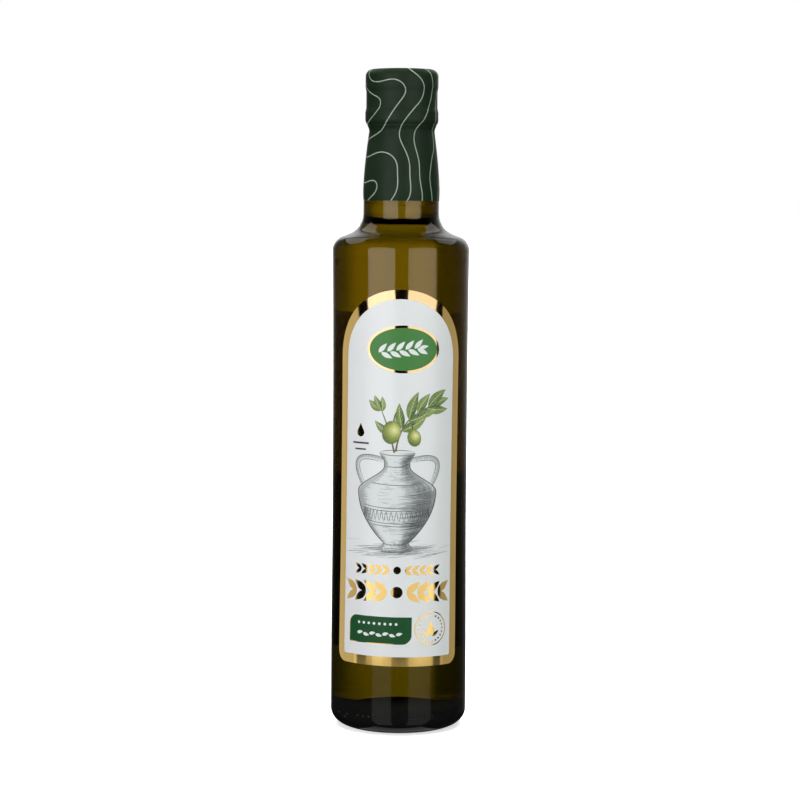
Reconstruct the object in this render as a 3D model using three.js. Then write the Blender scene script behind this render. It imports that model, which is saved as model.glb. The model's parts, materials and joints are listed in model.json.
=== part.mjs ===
// A half-litre olive oil bottle of dark glass: a round body with a short sloped shoulder, a neck that
// narrows to a screw cap, one shrunk capsule over cap and neck, and an arched front and a square back label.
// Millimetres, +Z up. The origin is the centre of the base, on the table, and the front label faces -Y.
import * as THREE from "three";

// Glass, outside
const SHOULDER_RADIUS = 31; // the widest ring, just under the shoulder
const PANEL_RADIUS = 30.5; // the slight waist that keeps the labels from rubbing
const HEEL_RADIUS = 30.9;
const PANEL_WAIST_Z = 105; // the narrowest ring of the panel
const HEEL_PANEL_Z = 25; // the panel blends into the heel here
const SHOULDER_Z = 217.2; // the straight side ends and the shoulder's round edge starts
const SHOULDER_ROUND = 6.5;
const SHOULDER_TURN = THREE.MathUtils.degToRad(68.6); // how far each round of the shoulder turns
const NECK_RADIUS = 17.08;
const NECK_ROOT_Z = 233.9; // the neck is straight above this
const NECK_FILLET = 10;
const HEEL_ROUND = 9.2; // how far the heel's round reaches in from the side
const HEEL_ROUND_HEIGHT = 7.6;
const PUNT_RADIUS = 19.5; // the hollow under the base, inside the ring that it stands on
const PUNT_DEPTH = 4;

// Glass, inside
const WALL = 3.4;
const BASE_THICKNESS = 5;
const BASE_CROWN = 1; // the inside of the base rises this much to its middle
const INNER_HEEL_ROUND = 8;
const BORE_RADIUS = 10;
const NECK_STEP_Z = 239.15; // the glass steps in under the capsule's foot
const FINISH_Z = 269; // from here up the cap screws on, out of sight
const FINISH_RADIUS = 13.6;
const FINISH_STEP = 1.5; // the neck steps in over this height, just under the finish
const MOUTH_Z = 295.6;

// Capsule, shrunk over the cap and the neck
const SKIN = 0.4;
const GAP = 0.3; // air between two pieces that touch
const CAPSULE_FOOT_Z = 239.5;
const CAPSULE_FOOT_RADIUS = 17.15;
const CAPSULE_ROLL_Z = 243.8; // the film swells a little above its cut edge
const CAPSULE_ROLL_RADIUS = 17.28;
const CAPSULE_WAIST_Z = 270.6; // drawn in here, under the cap
const CAPSULE_WAIST_RADIUS = 14.75;
const TAPER_POWER = 1.5; // the film narrows ever faster up to the waist
const CAP_RING_Z = [275.9, 278.7]; // the cap's loose lower ring, from and to
const CAP_RING_RADIUS = 16.5;
const CAP_SKIRT_Z = [281.4, 288];
const CAP_SKIRT_RADIUS = 16.05;
const CAP_BEAD_Z = 290.8; // the knurled bead starts here and ends in the round of the top
const CAP_BEAD_RADIUS = 16.42;
const CAP_TOP_Z = 298.4;
const CAP_CORNER = 3.2;
const CAP_CROWN = 0.5; // the top is a little domed

// Oil
const OIL_LEVEL_Z = 252; // in the neck, behind the capsule

// Labels
const LABEL_THICKNESS = 0.3;
const LABEL_HALF_WIDTH = 30.6; // along the glass; the arch is a half circle of this radius
const LABEL_FOOT_Z = 32;
const FRONT_ARCH_Z = 169.8; // the arch springs here
const BACK_TOP_Z = 188.6;
const LABEL_CORNER = 5;
const FRONT_LEAN = 0.0113; // the front label was put on leaning this much, in mm per mm of height
const LABEL_UPRIGHT_Z = 146; // its middle faces straight ahead at this height

// Fineness
const TURN_STEPS = 48;
const PANEL_STEPS = 6;
const ROUND_STEPS = 5;
const INNER_ROUND_STEPS = 4;
const TAPER_STEPS = 8;
const HIDDEN_TAPER_STEPS = 3;
const CAP_FOOT_STEPS = 6;
const CAP_EASE_STEPS = 3;
const LABEL_COLUMNS = 24;
const LABEL_ROWS = 8;

const point = (radius, z) => new THREE.Vector2(radius, z);

// How much of a shallow dome's height is left at a share of its radius.
const dome = (share) => 1 - share * share;

// An elliptical round about (centreRadius, centreZ), from one angle to another, in radians.
function round(centreRadius, centreZ, reachR, reachZ, from, to, steps = ROUND_STEPS) {
  return Array.from({ length: steps + 1 }, (_, i) => {
    const angle = from + ((to - from) * i) / steps;
    return point(centreRadius + reachR * Math.cos(angle), centreZ + reachZ * Math.sin(angle));
  });
}

// The body's outside radius between the heel and the shoulder.
function bodyRadius(z) {
  if (z < PANEL_WAIST_Z) {
    const low = THREE.MathUtils.smoothstep(PANEL_WAIST_Z - z, 0, PANEL_WAIST_Z - HEEL_PANEL_Z);
    return PANEL_RADIUS + (HEEL_RADIUS - PANEL_RADIUS) * low;
  }
  const high = (z - PANEL_WAIST_Z) / (SHOULDER_Z - PANEL_WAIST_Z);
  return PANEL_RADIUS + (SHOULDER_RADIUS - PANEL_RADIUS) * high ** 3;
}

// The side from one height to another, set in by a wall's thickness.
function side(fromZ, toZ, inset = 0, steps = PANEL_STEPS) {
  return Array.from({ length: steps + 1 }, (_, i) => {
    const z = fromZ + ((toZ - fromZ) * i) / steps;
    return point(bodyRadius(z) - inset, z);
  });
}

// The shoulder from the side up to the neck, set in by a wall's thickness.
function shoulder(inset = 0) {
  const edge = SHOULDER_ROUND - inset;
  const fillet = NECK_FILLET + inset;
  return [
    ...round(SHOULDER_RADIUS - SHOULDER_ROUND, SHOULDER_Z, edge, edge, 0, SHOULDER_TURN),
    ...round(
      NECK_RADIUS + NECK_FILLET, NECK_ROOT_Z, fillet, fillet, Math.PI + SHOULDER_TURN, Math.PI,
    ),
  ];
}

// An eased change from one radius to another up the capsule.
function eased(fromRadius, fromZ, toRadius, toZ, steps) {
  return Array.from({ length: steps + 1 }, (_, i) => {
    const along = i / steps;
    const share = along * along * (3 - 2 * along);
    return point(fromRadius + (toRadius - fromRadius) * share, fromZ + (toZ - fromZ) * along);
  });
}

// The capsule's outside where it narrows up the neck.
function taperRadius(z) {
  const along = (z - CAPSULE_ROLL_Z) / (CAPSULE_WAIST_Z - CAPSULE_ROLL_Z);
  return CAPSULE_ROLL_RADIUS - (CAPSULE_ROLL_RADIUS - CAPSULE_WAIST_RADIUS) * along ** TAPER_POWER;
}

// Points up the narrowing part, set in by a depth.
function taper(toZ, steps, inset = 0) {
  return Array.from({ length: steps + 1 }, (_, i) => {
    const z = CAPSULE_ROLL_Z + ((toZ - CAPSULE_ROLL_Z) * i) / steps;
    return point(taperRadius(z) - inset, z);
  });
}

// The capsule's outside, from its cut foot over the cap to the middle of its top.
function capsuleOutside() {
  const flat = CAP_BEAD_RADIUS - CAP_CORNER;
  return [
    point(CAPSULE_FOOT_RADIUS, CAPSULE_FOOT_Z),
    ...taper(CAPSULE_WAIST_Z, TAPER_STEPS),
    ...eased(CAPSULE_WAIST_RADIUS, CAPSULE_WAIST_Z, CAP_RING_RADIUS, CAP_RING_Z[0], CAP_FOOT_STEPS).slice(1),
    ...eased(CAP_RING_RADIUS, CAP_RING_Z[1], CAP_SKIRT_RADIUS, CAP_SKIRT_Z[0], CAP_EASE_STEPS),
    ...eased(CAP_SKIRT_RADIUS, CAP_SKIRT_Z[1], CAP_BEAD_RADIUS, CAP_BEAD_Z, CAP_EASE_STEPS),
    ...round(flat, CAP_TOP_Z - CAP_CORNER, CAP_CORNER, CAP_CORNER, 0, Math.PI / 2),
    point(flat / 2, CAP_TOP_Z + CAP_CROWN * dome(1 / 2)),
    point(0, CAP_TOP_Z + CAP_CROWN),
  ];
}

// The glass neck behind the capsule, from the step that the capsule's foot stands over up to the mouth.
const NECK_INSET = SKIN + GAP;
const HIDDEN_NECK = [
  point(CAPSULE_FOOT_RADIUS - NECK_INSET, NECK_STEP_Z),
  ...taper(FINISH_Z - FINISH_STEP, HIDDEN_TAPER_STEPS, NECK_INSET),
  point(FINISH_RADIUS, FINISH_Z),
  point(FINISH_RADIUS, MOUTH_Z),
];

// Turns a profile of (radius, z) points about +Z.
function turned(profile) {
  return new THREE.LatheGeometry(profile, TURN_STEPS).rotateX(Math.PI / 2);
}

function glassBottle() {
  const baseZ = PUNT_DEPTH + BASE_THICKNESS;
  const innerSide = bodyRadius(baseZ) - WALL;
  return turned([
    point(0, PUNT_DEPTH),
    point(PUNT_RADIUS / 2, PUNT_DEPTH * dome(1 / 2)),
    point(PUNT_RADIUS, 0),
    ...round(
      HEEL_RADIUS - HEEL_ROUND, HEEL_ROUND_HEIGHT, HEEL_ROUND, HEEL_ROUND_HEIGHT, -Math.PI / 2, 0,
    ),
    ...side(HEEL_PANEL_Z / 2, SHOULDER_Z).slice(0, -1),
    ...shoulder(),
    point(NECK_RADIUS, NECK_STEP_Z),
    ...HIDDEN_NECK,
    point(BORE_RADIUS, MOUTH_Z),
    point(BORE_RADIUS, CAPSULE_WAIST_Z),
    point(NECK_RADIUS - WALL, CAPSULE_ROLL_Z),
    ...shoulder(WALL).reverse(),
    ...side(baseZ + INNER_HEEL_ROUND, SHOULDER_Z, WALL).reverse().slice(1),
    ...round(
      innerSide - INNER_HEEL_ROUND, baseZ + INNER_HEEL_ROUND, INNER_HEEL_ROUND, INNER_HEEL_ROUND,
      0, -Math.PI / 2, INNER_ROUND_STEPS,
    ).slice(1),
    point(0, baseZ + BASE_CROWN),
  ]);
}

function oliveOil() {
  const skin = WALL + GAP;
  const bedZ = PUNT_DEPTH + BASE_THICKNESS + GAP;
  const reach = INNER_HEEL_ROUND;
  const radius = bodyRadius(bedZ) - skin;
  const neckSlope = (NECK_RADIUS - WALL - BORE_RADIUS) / (CAPSULE_WAIST_Z - CAPSULE_ROLL_Z);
  const surfaceRadius = NECK_RADIUS - skin - neckSlope * (OIL_LEVEL_Z - CAPSULE_ROLL_Z);
  return turned([
    point(0, bedZ + BASE_CROWN),
    ...round(radius - reach, bedZ + reach, reach, reach, -Math.PI / 2, 0, INNER_ROUND_STEPS),
    ...side(bedZ + reach, SHOULDER_Z, skin).slice(1, -1),
    ...shoulder(skin),
    point(NECK_RADIUS - skin, CAPSULE_ROLL_Z),
    point(surfaceRadius, OIL_LEVEL_Z),
    point(0, OIL_LEVEL_Z),
  ]);
}

function neckCapsule() {
  return turned([
    ...capsuleOutside(),
    point(0, MOUTH_Z + GAP),
    point(FINISH_RADIUS + GAP, MOUTH_Z + GAP),
    ...HIDDEN_NECK.slice(1, -1).reverse().map((p) => point(p.x + GAP, p.y)),
    point(CAPSULE_FOOT_RADIUS - SKIN, CAPSULE_FOOT_Z),
    point(CAPSULE_FOOT_RADIUS, CAPSULE_FOOT_Z),
  ]);
}

// A thin plate laid round the body: low and high give its lower and upper edge at each place s along the
// glass, from -LABEL_HALF_WIDTH to LABEL_HALF_WIDTH, and facing is the angle that its middle faces.
function label({ low, high, lean, facing }) {
  const plate = new THREE.BoxGeometry(2, 1, 1, LABEL_COLUMNS, LABEL_ROWS, 1).translate(0, 0.5, 0.5);
  const place = plate.attributes.position;
  for (let i = 0; i < place.count; i++) {
    const s = LABEL_HALF_WIDTH * Math.sin((place.getX(i) * Math.PI) / 2);
    const z = low(s) + (high(s) - low(s)) * place.getY(i) - lean * s;
    const angle = facing + (s + lean * (z - LABEL_UPRIGHT_Z)) / PANEL_RADIUS;
    const radius = bodyRadius(z) + GAP + LABEL_THICKNESS * place.getZ(i);
    place.setXYZ(i, radius * Math.sin(angle), -radius * Math.cos(angle), z);
  }
  return plate;
}

// How far a rounded corner draws an edge back at place s.
function cornerRise(s) {
  const past = Math.max(0, Math.abs(s) - (LABEL_HALF_WIDTH - LABEL_CORNER));
  return LABEL_CORNER - Math.sqrt(Math.max(0, LABEL_CORNER ** 2 - past ** 2));
}

function frontLabel() {
  return label({
    low: (s) => LABEL_FOOT_Z + cornerRise(s),
    high: (s) => FRONT_ARCH_Z + Math.sqrt(Math.max(0, LABEL_HALF_WIDTH ** 2 - s ** 2)),
    lean: FRONT_LEAN,
    facing: 0,
  });
}

function backLabel() {
  return label({
    low: (s) => LABEL_FOOT_Z + cornerRise(s),
    high: (s) => BACK_TOP_Z - cornerRise(s),
    lean: 0,
    facing: Math.PI,
  });
}

function piece(name, geometry, color, roughness, metalness = 0, opacity = 1) {
  const material = new THREE.MeshStandardMaterial({ color, roughness, metalness });
  material.transparent = opacity < 1;
  material.opacity = opacity;
  const mesh = new THREE.Mesh(geometry, material);
  mesh.name = name;
  return mesh;
}

const bottle = new THREE.Group();
bottle.add(
  piece("glass_bottle", glassBottle(), 0x4a3d05, 0.06, 0, 0.85),
  piece("olive_oil", oliveOil(), 0x8a7410, 0.15),
  piece("neck_capsule", neckCapsule(), 0x2a3829, 0.42),
  piece("front_label", frontLabel(), 0xdfe3e5, 0.5),
  piece("back_label", backLabel(), 0xdfe3e5, 0.5),
);

export default bottle;
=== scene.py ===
"""A shut half-litre bottle of olive oil in dark glass, dressed and lit as for a product photograph.

Flat work, such as labels and print, is drawn on the XY plane: X runs along the glass, Y runs up the
bottle and Z is height above the glass. GlassWrap then lays it round the body.
"""

import json
import logging
import math
import random
from collections.abc import Callable, Sequence
from dataclasses import dataclass, field
from enum import Enum
from itertools import pairwise

import bpy
from mathutils import Matrix, Vector

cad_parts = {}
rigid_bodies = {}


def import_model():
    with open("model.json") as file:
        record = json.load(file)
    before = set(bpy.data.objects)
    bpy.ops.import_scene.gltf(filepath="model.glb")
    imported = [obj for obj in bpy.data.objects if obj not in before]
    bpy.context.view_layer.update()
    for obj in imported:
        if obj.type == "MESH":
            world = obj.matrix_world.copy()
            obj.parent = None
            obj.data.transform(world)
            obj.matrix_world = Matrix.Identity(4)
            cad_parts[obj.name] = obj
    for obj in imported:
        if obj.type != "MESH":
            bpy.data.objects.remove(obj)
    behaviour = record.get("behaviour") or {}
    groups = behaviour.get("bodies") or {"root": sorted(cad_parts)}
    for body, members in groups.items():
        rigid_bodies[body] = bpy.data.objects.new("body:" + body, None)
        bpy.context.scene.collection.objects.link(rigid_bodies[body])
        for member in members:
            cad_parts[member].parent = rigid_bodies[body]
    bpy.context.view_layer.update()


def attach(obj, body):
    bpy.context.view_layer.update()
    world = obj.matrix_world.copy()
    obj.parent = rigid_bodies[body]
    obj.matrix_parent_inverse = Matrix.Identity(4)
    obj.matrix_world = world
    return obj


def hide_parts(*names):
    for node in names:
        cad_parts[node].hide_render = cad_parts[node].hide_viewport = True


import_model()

LOG = logging.getLogger("bottle")
MM = 0.001
Point = tuple[float, float]
Colour = tuple[float, float, float, float]
WHITE: Colour = (1.0, 1.0, 1.0, 1.0)
BLACK: Colour = (0.0, 0.0, 0.0, 1.0)


def linear(hex_colour: str) -> Colour:
    """Turns a colour as seen on a screen into the linear one that a shader takes.

    Args:
        hex_colour: An sRGB colour such as "#5f4b00".

    Returns:
        Linear red, green, blue and an alpha of 1.
    """
    parts = [int(hex_colour[i : i + 2], 16) / 255 for i in (1, 3, 5)]
    red, green, blue = (p / 12.92 if p <= 0.04045 else ((p + 0.055) / 1.055) ** 2.4 for p in parts)
    return red, green, blue, 1.0


def blend(first: Colour, second: Colour, share: float) -> Colour:
    """Mixes two linear colours.

    Args:
        first: The colour at share 0.
        second: The colour at share 1.
        share: Where between them, from 0 to 1.

    Returns:
        The mixed colour.
    """
    share = min(1.0, max(0.0, share))
    return tuple(a + (b - a) * share for a, b in zip(first, second))


def smoothstep(value: float, low: float, high: float) -> float:
    """Eases from 0 at low to 1 at high.

    Args:
        value: The value to place.
        low: Where the change starts.
        high: Where the change ends.

    Returns:
        A share from 0 to 1.
    """
    along = min(1.0, max(0.0, (value - low) / (high - low)))
    return along * along * (3 - 2 * along)


# Shapes of the bottle, in millimetres


@dataclass(frozen=True)
class GlassForm:
    """The glass: radii from the axis and heights from the table, in millimetres."""

    shoulder_radius: float = 31.0
    panel_radius: float = 30.5
    heel_radius: float = 30.9
    panel_waist_z: float = 105.0
    heel_panel_z: float = 25.0
    shoulder_z: float = 217.2
    shoulder_round: float = 6.5
    shoulder_turn: float = math.radians(68.6)
    neck_radius: float = 17.08
    neck_root_z: float = 233.9
    neck_fillet: float = 10.0
    heel_round: float = 9.2
    heel_round_height: float = 7.6
    punt_radius: float = 19.5
    punt_depth: float = 4.0
    wall: float = 3.4
    heel_wall: float = 0.4
    base_thickness: float = 2.2
    base_crown: float = 7.6
    inner_heel_round: float = 5.0
    bore_radius: float = 10.0
    bore_z: float = 270.6
    neck_bore_z: float = 243.8
    finish_radius: float = 13.6
    finish_z: float = 269.0
    mouth_z: float = 295.6

    def body_radius(self, z: float) -> float:
        """The outside radius between heel and shoulder.

        Args:
            z: A height in millimetres.

        Returns:
            The radius there in millimetres.
        """
        if z < self.panel_waist_z:
            low = smoothstep(self.panel_waist_z - z, 0, self.panel_waist_z - self.heel_panel_z)
            return self.panel_radius + (self.heel_radius - self.panel_radius) * low
        high = (z - self.panel_waist_z) / (self.shoulder_z - self.panel_waist_z)
        return self.panel_radius + (self.shoulder_radius - self.panel_radius) * high**3

    def thicker(self, z: float) -> float:
        """How much the wall gains towards the heel, where the glass gathers in the mould."""
        return self.heel_wall * (1 - smoothstep(z, 14.0, 60.0))

    def bed(self, radius: float, steps: int = 10) -> list[Point]:
        """Points over the inside of the base, which rises to its middle.

        Args:
            radius: Where the rise starts.
            steps: How many stretches lie between there and the axis.

        Returns:
            Radius and height of each point, from the outer one to the axis.
        """
        shares = [1 - i / steps for i in range(1, steps + 1)]
        foot = self.punt_depth + self.base_thickness
        return [(radius * share, foot + self.base_crown * (1 - share**2)) for share in shares]

    def side(self, low_z: float, high_z: float, inset: float, steps: int = 48) -> list[Point]:
        """Points up the side.

        Args:
            low_z: The first height.
            high_z: The last height.
            inset: How far the points lie inside the outer face.
            steps: How many stretches lie between them.

        Returns:
            Radius and height of each point.
        """
        heights = [low_z + (high_z - low_z) * i / steps for i in range(steps + 1)]
        within = inset > 0
        return [(self.body_radius(z) - inset - within * self.thicker(z), z) for z in heights]

    def shoulder(self, inset: float) -> list[Point]:
        """Points from the side over the shoulder to the straight neck.

        Args:
            inset: How far the points lie inside the outer face.

        Returns:
            Radius and height of each point.
        """
        edge = self.shoulder_round - inset
        fillet = self.neck_fillet + inset
        over = arc(
            self.shoulder_radius - self.shoulder_round, self.shoulder_z, edge, edge, 0, self.shoulder_turn
        )
        into = arc(
            self.neck_radius + self.neck_fillet,
            self.neck_root_z,
            fillet,
            fillet,
            math.pi + self.shoulder_turn,
            math.pi,
        )
        return over + into


@dataclass(frozen=True)
class CapsuleForm:
    """The film over cap and neck: radii and heights in millimetres."""

    foot_z: float = 239.5
    foot_radius: float = 17.14
    roll_z: float = 243.8
    roll_radius: float = 17.28
    waist_z: float = 270.6
    waist_radius: float = 14.75
    taper_power: float = 1.5
    ring_z: Point = (275.9, 278.7)
    ring_radius: float = 16.5
    skirt_z: Point = (281.4, 288.0)
    skirt_radius: float = 16.05
    bead_z: float = 290.8
    bead_radius: float = 16.42
    crease_z: float = 273.6
    crease_depth: float = 0.24
    crease_height: float = 0.24
    top_z: float = 298.4
    corner: float = 3.2
    crown: float = 0.5

    def radius(self, z: float) -> float:
        """The outside radius anywhere below the round of the top.

        Args:
            z: A height in millimetres.

        Returns:
            The radius there in millimetres.
        """
        if z <= self.roll_z:
            rise = math.sin(math.pi / 2 * (z - self.foot_z) / (self.roll_z - self.foot_z))
            return self.foot_radius + (self.roll_radius - self.foot_radius) * rise
        if z <= self.waist_z:
            along = (z - self.roll_z) / (self.waist_z - self.roll_z)
            return self.roll_radius - (self.roll_radius - self.waist_radius) * along**self.taper_power
        out = self.waist_radius + (self.ring_radius - self.waist_radius) * smoothstep(
            z, self.waist_z, self.ring_z[0]
        )
        back = (self.ring_radius - self.skirt_radius) * smoothstep(z, self.ring_z[1], self.skirt_z[0])
        bead = (self.bead_radius - self.skirt_radius) * smoothstep(z, self.skirt_z[1], self.bead_z)
        crease = self.crease_depth * math.exp(-(((z - self.crease_z) / self.crease_height) ** 2))
        return out - back + bead - crease


def arc(
    centre_radius: float, centre_z: float, reach_r: float, reach_z: float, start: float, end: float
) -> list[Point]:
    """Points on an elliptical round, about one every four degrees.

    Args:
        centre_radius: The centre's distance from the axis.
        centre_z: The centre's height.
        reach_r: The half width.
        reach_z: The half height.
        start: The first angle in radians.
        end: The last angle in radians.

    Returns:
        Radius and height of each point.
    """
    steps = max(4, round(abs(end - start) / math.radians(4)))
    angles = [start + (end - start) * i / steps for i in range(steps + 1)]
    return [(centre_radius + reach_r * math.cos(a), centre_z + reach_z * math.sin(a)) for a in angles]


# Modelling steps


def edit(piece: bpy.types.Object) -> None:
    """Opens a piece in edit mode with everything on it selected, and nothing else."""
    bpy.ops.object.select_all(action="DESELECT")
    piece.select_set(True)
    bpy.context.view_layer.objects.active = piece
    bpy.ops.object.mode_set(mode="EDIT")
    bpy.ops.mesh.select_all(action="SELECT")


def close_edit() -> None:
    """Goes back to object mode."""
    bpy.ops.object.mode_set(mode="OBJECT")


def chain(name: str, points: Sequence[Vector]) -> bpy.types.Object:
    """A line of edges, drawn by extruding one vertex from point to point.

    Args:
        name: The new piece's name.
        points: The places in metres.

    Returns:
        The piece, left in edit mode with its last vertex selected.
    """
    bpy.ops.object.select_all(action="DESELECT")
    bpy.ops.mesh.primitive_plane_add(size=MM, location=(0, 0, 0))
    piece = bpy.context.object
    piece.name = name
    edit(piece)
    bpy.ops.mesh.merge(type="CENTER")
    bpy.ops.transform.translate(value=points[0])
    for here, there in pairwise(points):
        bpy.ops.mesh.extrude_region_move(TRANSFORM_OT_translate={"value": there - here})
    return piece


def turned(name: str, profile: Sequence[Point], steps: int) -> bpy.types.Object:
    """A piece turned about the bottle's axis.

    Args:
        name: The new piece's name.
        profile: Radius and height of each point in millimetres, from the axis round to the axis.
        steps: How many faces go round.

    Returns:
        The closed, smooth piece.
    """
    piece = chain(name, [Vector((radius * MM, 0, z * MM)) for radius, z in profile])
    bpy.ops.mesh.select_all(action="SELECT")
    bpy.ops.mesh.spin(steps=steps, angle=2 * math.pi, center=(0, 0, 0), axis=(0, 0, 1))
    bpy.ops.mesh.select_all(action="SELECT")
    bpy.ops.mesh.remove_doubles(threshold=0.002 * MM)
    close_edit()
    face_outward(piece)
    bpy.ops.object.shade_smooth_by_angle(angle=math.radians(50))
    return piece


def face_outward(piece: bpy.types.Object) -> None:
    """Turns every face round if a closed piece holds less than nothing."""
    mesh = piece.data
    mesh.calc_loop_triangles()
    volume = sum(
        mesh.vertices[t.vertices[0]].co.dot(
            mesh.vertices[t.vertices[1]].co.cross(mesh.vertices[t.vertices[2]].co)
        )
        for t in mesh.loop_triangles
    )
    if volume < 0:
        mesh.flip_normals()


def flat_shape(name: str, outline: Sequence[Point]) -> bpy.types.Object:
    """One flat face with a drawn outline.

    Args:
        name: The new piece's name.
        outline: Places along and up the glass in millimetres, counter-clockwise.

    Returns:
        The flat piece.
    """
    piece = chain(name, [Vector((s * MM, z * MM, 0)) for s, z in outline])
    bpy.ops.mesh.select_all(action="SELECT")
    bpy.ops.mesh.edge_face_add()
    close_edit()
    return piece


def keep_rim(piece: bpy.types.Object, width: float) -> None:
    """Leaves only a rim of a flat face.

    Args:
        piece: The flat piece.
        width: The rim's width in millimetres.
    """
    edit(piece)
    bpy.ops.mesh.inset(thickness=width * MM, depth=0)
    bpy.ops.mesh.delete(type="FACE")
    close_edit()


def slice_grid(piece: bpy.types.Object, step_s: float = 1.3, step_z: float = 7.0) -> None:
    """Cuts a flat piece along a grid, so that it can bend round the glass.

    Args:
        piece: The flat piece.
        step_s: The distance between upright cuts in millimetres.
        step_z: The distance between level cuts in millimetres.
    """
    corners = [vertex.co for vertex in piece.data.vertices]
    edit(piece)
    for axis, step in ((0, step_s * MM), (1, step_z * MM)):
        low = min(corner[axis] for corner in corners)
        high = max(corner[axis] for corner in corners)
        normal = tuple(float(i == axis) for i in range(3))
        for cut in range(math.floor(low / step) + 1, math.ceil(high / step)):
            bpy.ops.mesh.select_all(action="SELECT")
            place = tuple(n * cut * step for n in normal)
            bpy.ops.mesh.bisect(plane_co=place, plane_no=normal)
    bpy.ops.mesh.select_all(action="SELECT")
    bpy.ops.mesh.remove_doubles(threshold=0.002 * MM)
    close_edit()


def thicken(piece: bpy.types.Object, low: float, high: float) -> None:
    """Gives a flat piece its thickness.

    Args:
        piece: The flat piece.
        low: The height of its underside above the glass in millimetres.
        high: The height of its top in millimetres.
    """
    edit(piece)
    bpy.ops.mesh.normals_make_consistent(inside=False)
    close_edit()
    if sum(face.normal.z * face.area for face in piece.data.polygons) < 0:
        piece.data.flip_normals()
    solid = piece.modifiers.new("thickness", "SOLIDIFY")
    solid.thickness = (high - low) * MM
    solid.offset = 1.0
    solid.use_even_offset = False
    bpy.ops.object.modifier_apply(modifier=solid.name)
    piece.data.transform(Matrix.Translation((0, 0, low * MM)))


@dataclass(frozen=True)
class GlassWrap:
    """Lays flat work round the body of the bottle."""

    form: GlassForm
    facing: float = 0.0
    lean: float = 0.0
    upright_z: float = 146.0

    def place(self, s: float, z: float, height: float) -> Vector:
        """Where a flat place ends up.

        Args:
            s: The distance along the glass from the label's middle in millimetres.
            z: The height up the bottle in millimetres.
            height: The height above the glass in millimetres.

        Returns:
            The place on the bottle in metres.
        """
        leaned_z = z - self.lean * s
        angle = self.facing + (s + self.lean * (z - self.upright_z)) / self.form.panel_radius
        radius = self.form.body_radius(leaned_z) + height
        return Vector((radius * math.sin(angle), -radius * math.cos(angle), leaned_z)) * MM

    def lay(self, piece: bpy.types.Object) -> None:
        """Bends a flat piece round the glass and keeps its flat coordinates as a UV map."""
        mesh = piece.data
        flat = mesh.uv_layers.new(name="Flat")
        for loop in mesh.loops:
            flat.data[loop.index].uv = mesh.vertices[loop.vertex_index].co.xy
        for vertex in mesh.vertices:
            s, z, height = (c / MM for c in vertex.co)
            vertex.co = self.place(s, z, height)
        bpy.ops.object.select_all(action="DESELECT")
        piece.select_set(True)
        bpy.context.view_layer.objects.active = piece
        bpy.ops.object.shade_smooth_by_angle(angle=math.radians(40))


# Finishes


class Nodes:
    """A tree of shader nodes, each added with its settings and links in one call."""

    def __init__(self, tree: bpy.types.NodeTree) -> None:
        """Empties the tree."""
        self.tree = tree
        self.tree.nodes.clear()

    def add(self, kind: str, inputs: dict | None = None, **settings: object) -> bpy.types.Node:
        """Adds one node.

        Args:
            kind: The node's type name.
            inputs: Values for its inputs, by name or number, or sockets to link to them.
            settings: Its other properties.

        Returns:
            The new node.
        """
        node = self.tree.nodes.new(kind)
        for key, value in settings.items():
            setattr(node, key, value)
        for key, value in (inputs or {}).items():
            if isinstance(value, bpy.types.NodeSocket):
                self.tree.links.new(value, node.inputs[key])
            else:
                node.inputs[key].default_value = value
        return node

    def sum(self, operation: str, *values: object) -> bpy.types.NodeSocket:
        """One step of arithmetic on numbers or sockets, as an output socket."""
        return self.add("ShaderNodeMath", dict(enumerate(values)), operation=operation).outputs[0]

    def vector_sum(self, operation: str, *values: object) -> bpy.types.NodeSocket:
        """One step of arithmetic on vectors, as an output socket."""
        return self.add("ShaderNodeVectorMath", dict(enumerate(values)), operation=operation).outputs[0]

    def mix(self, share: object, first: object, second: object) -> bpy.types.NodeSocket:
        """A colour between two, as an output socket."""
        return self.add("ShaderNodeMix", {0: share, 6: first, 7: second}, data_type="RGBA").outputs[2]

    def noise(self, place: object, scale: float, detail: float = 2.0) -> bpy.types.NodeSocket:
        """Smooth noise over a place, with scale in patches a metre, as an output socket."""
        node = self.add("ShaderNodeTexNoise", {"Vector": place, "Scale": scale, "Detail": detail})
        return node.outputs["Fac"]

    def object_place(self) -> bpy.types.NodeSocket:
        """The place on the object in metres, as an output socket."""
        return self.add("ShaderNodeTexCoord").outputs["Object"]

    def remap(
        self, value: object, start: float, end: float, first: float, last: float
    ) -> bpy.types.NodeSocket:
        """A number eased from first at start to last at end, as an output socket."""
        inputs = {"Value": value, "From Min": start, "From Max": end, "To Min": first, "To Max": last}
        return self.add("ShaderNodeMapRange", inputs, interpolation_type="SMOOTHSTEP").outputs[0]

    def bump(self, height: object, depth: float, under: object = None) -> bpy.types.NodeSocket:
        """A normal bent by a height, with depth in metres, as an output socket."""
        inputs = {"Height": height, "Distance": depth, "Strength": 1.0}
        if under is not None:
            inputs["Normal"] = under
        return self.add("ShaderNodeBump", inputs).outputs["Normal"]


class Shader(Nodes):
    """The nodes of a new material."""

    def __init__(self, name: str) -> None:
        """Starts an empty material."""
        self.material = bpy.data.materials.new(name)
        self.material.use_nodes = True
        super().__init__(self.material.node_tree)

    def finish(self, surface: object, volume: object = None) -> bpy.types.Material:
        """Links the output and returns the material."""
        inputs = {"Surface": surface.outputs[0]}
        if volume is not None:
            inputs["Volume"] = volume.outputs[0]
        self.add("ShaderNodeOutputMaterial", inputs)
        return self.material


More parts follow.
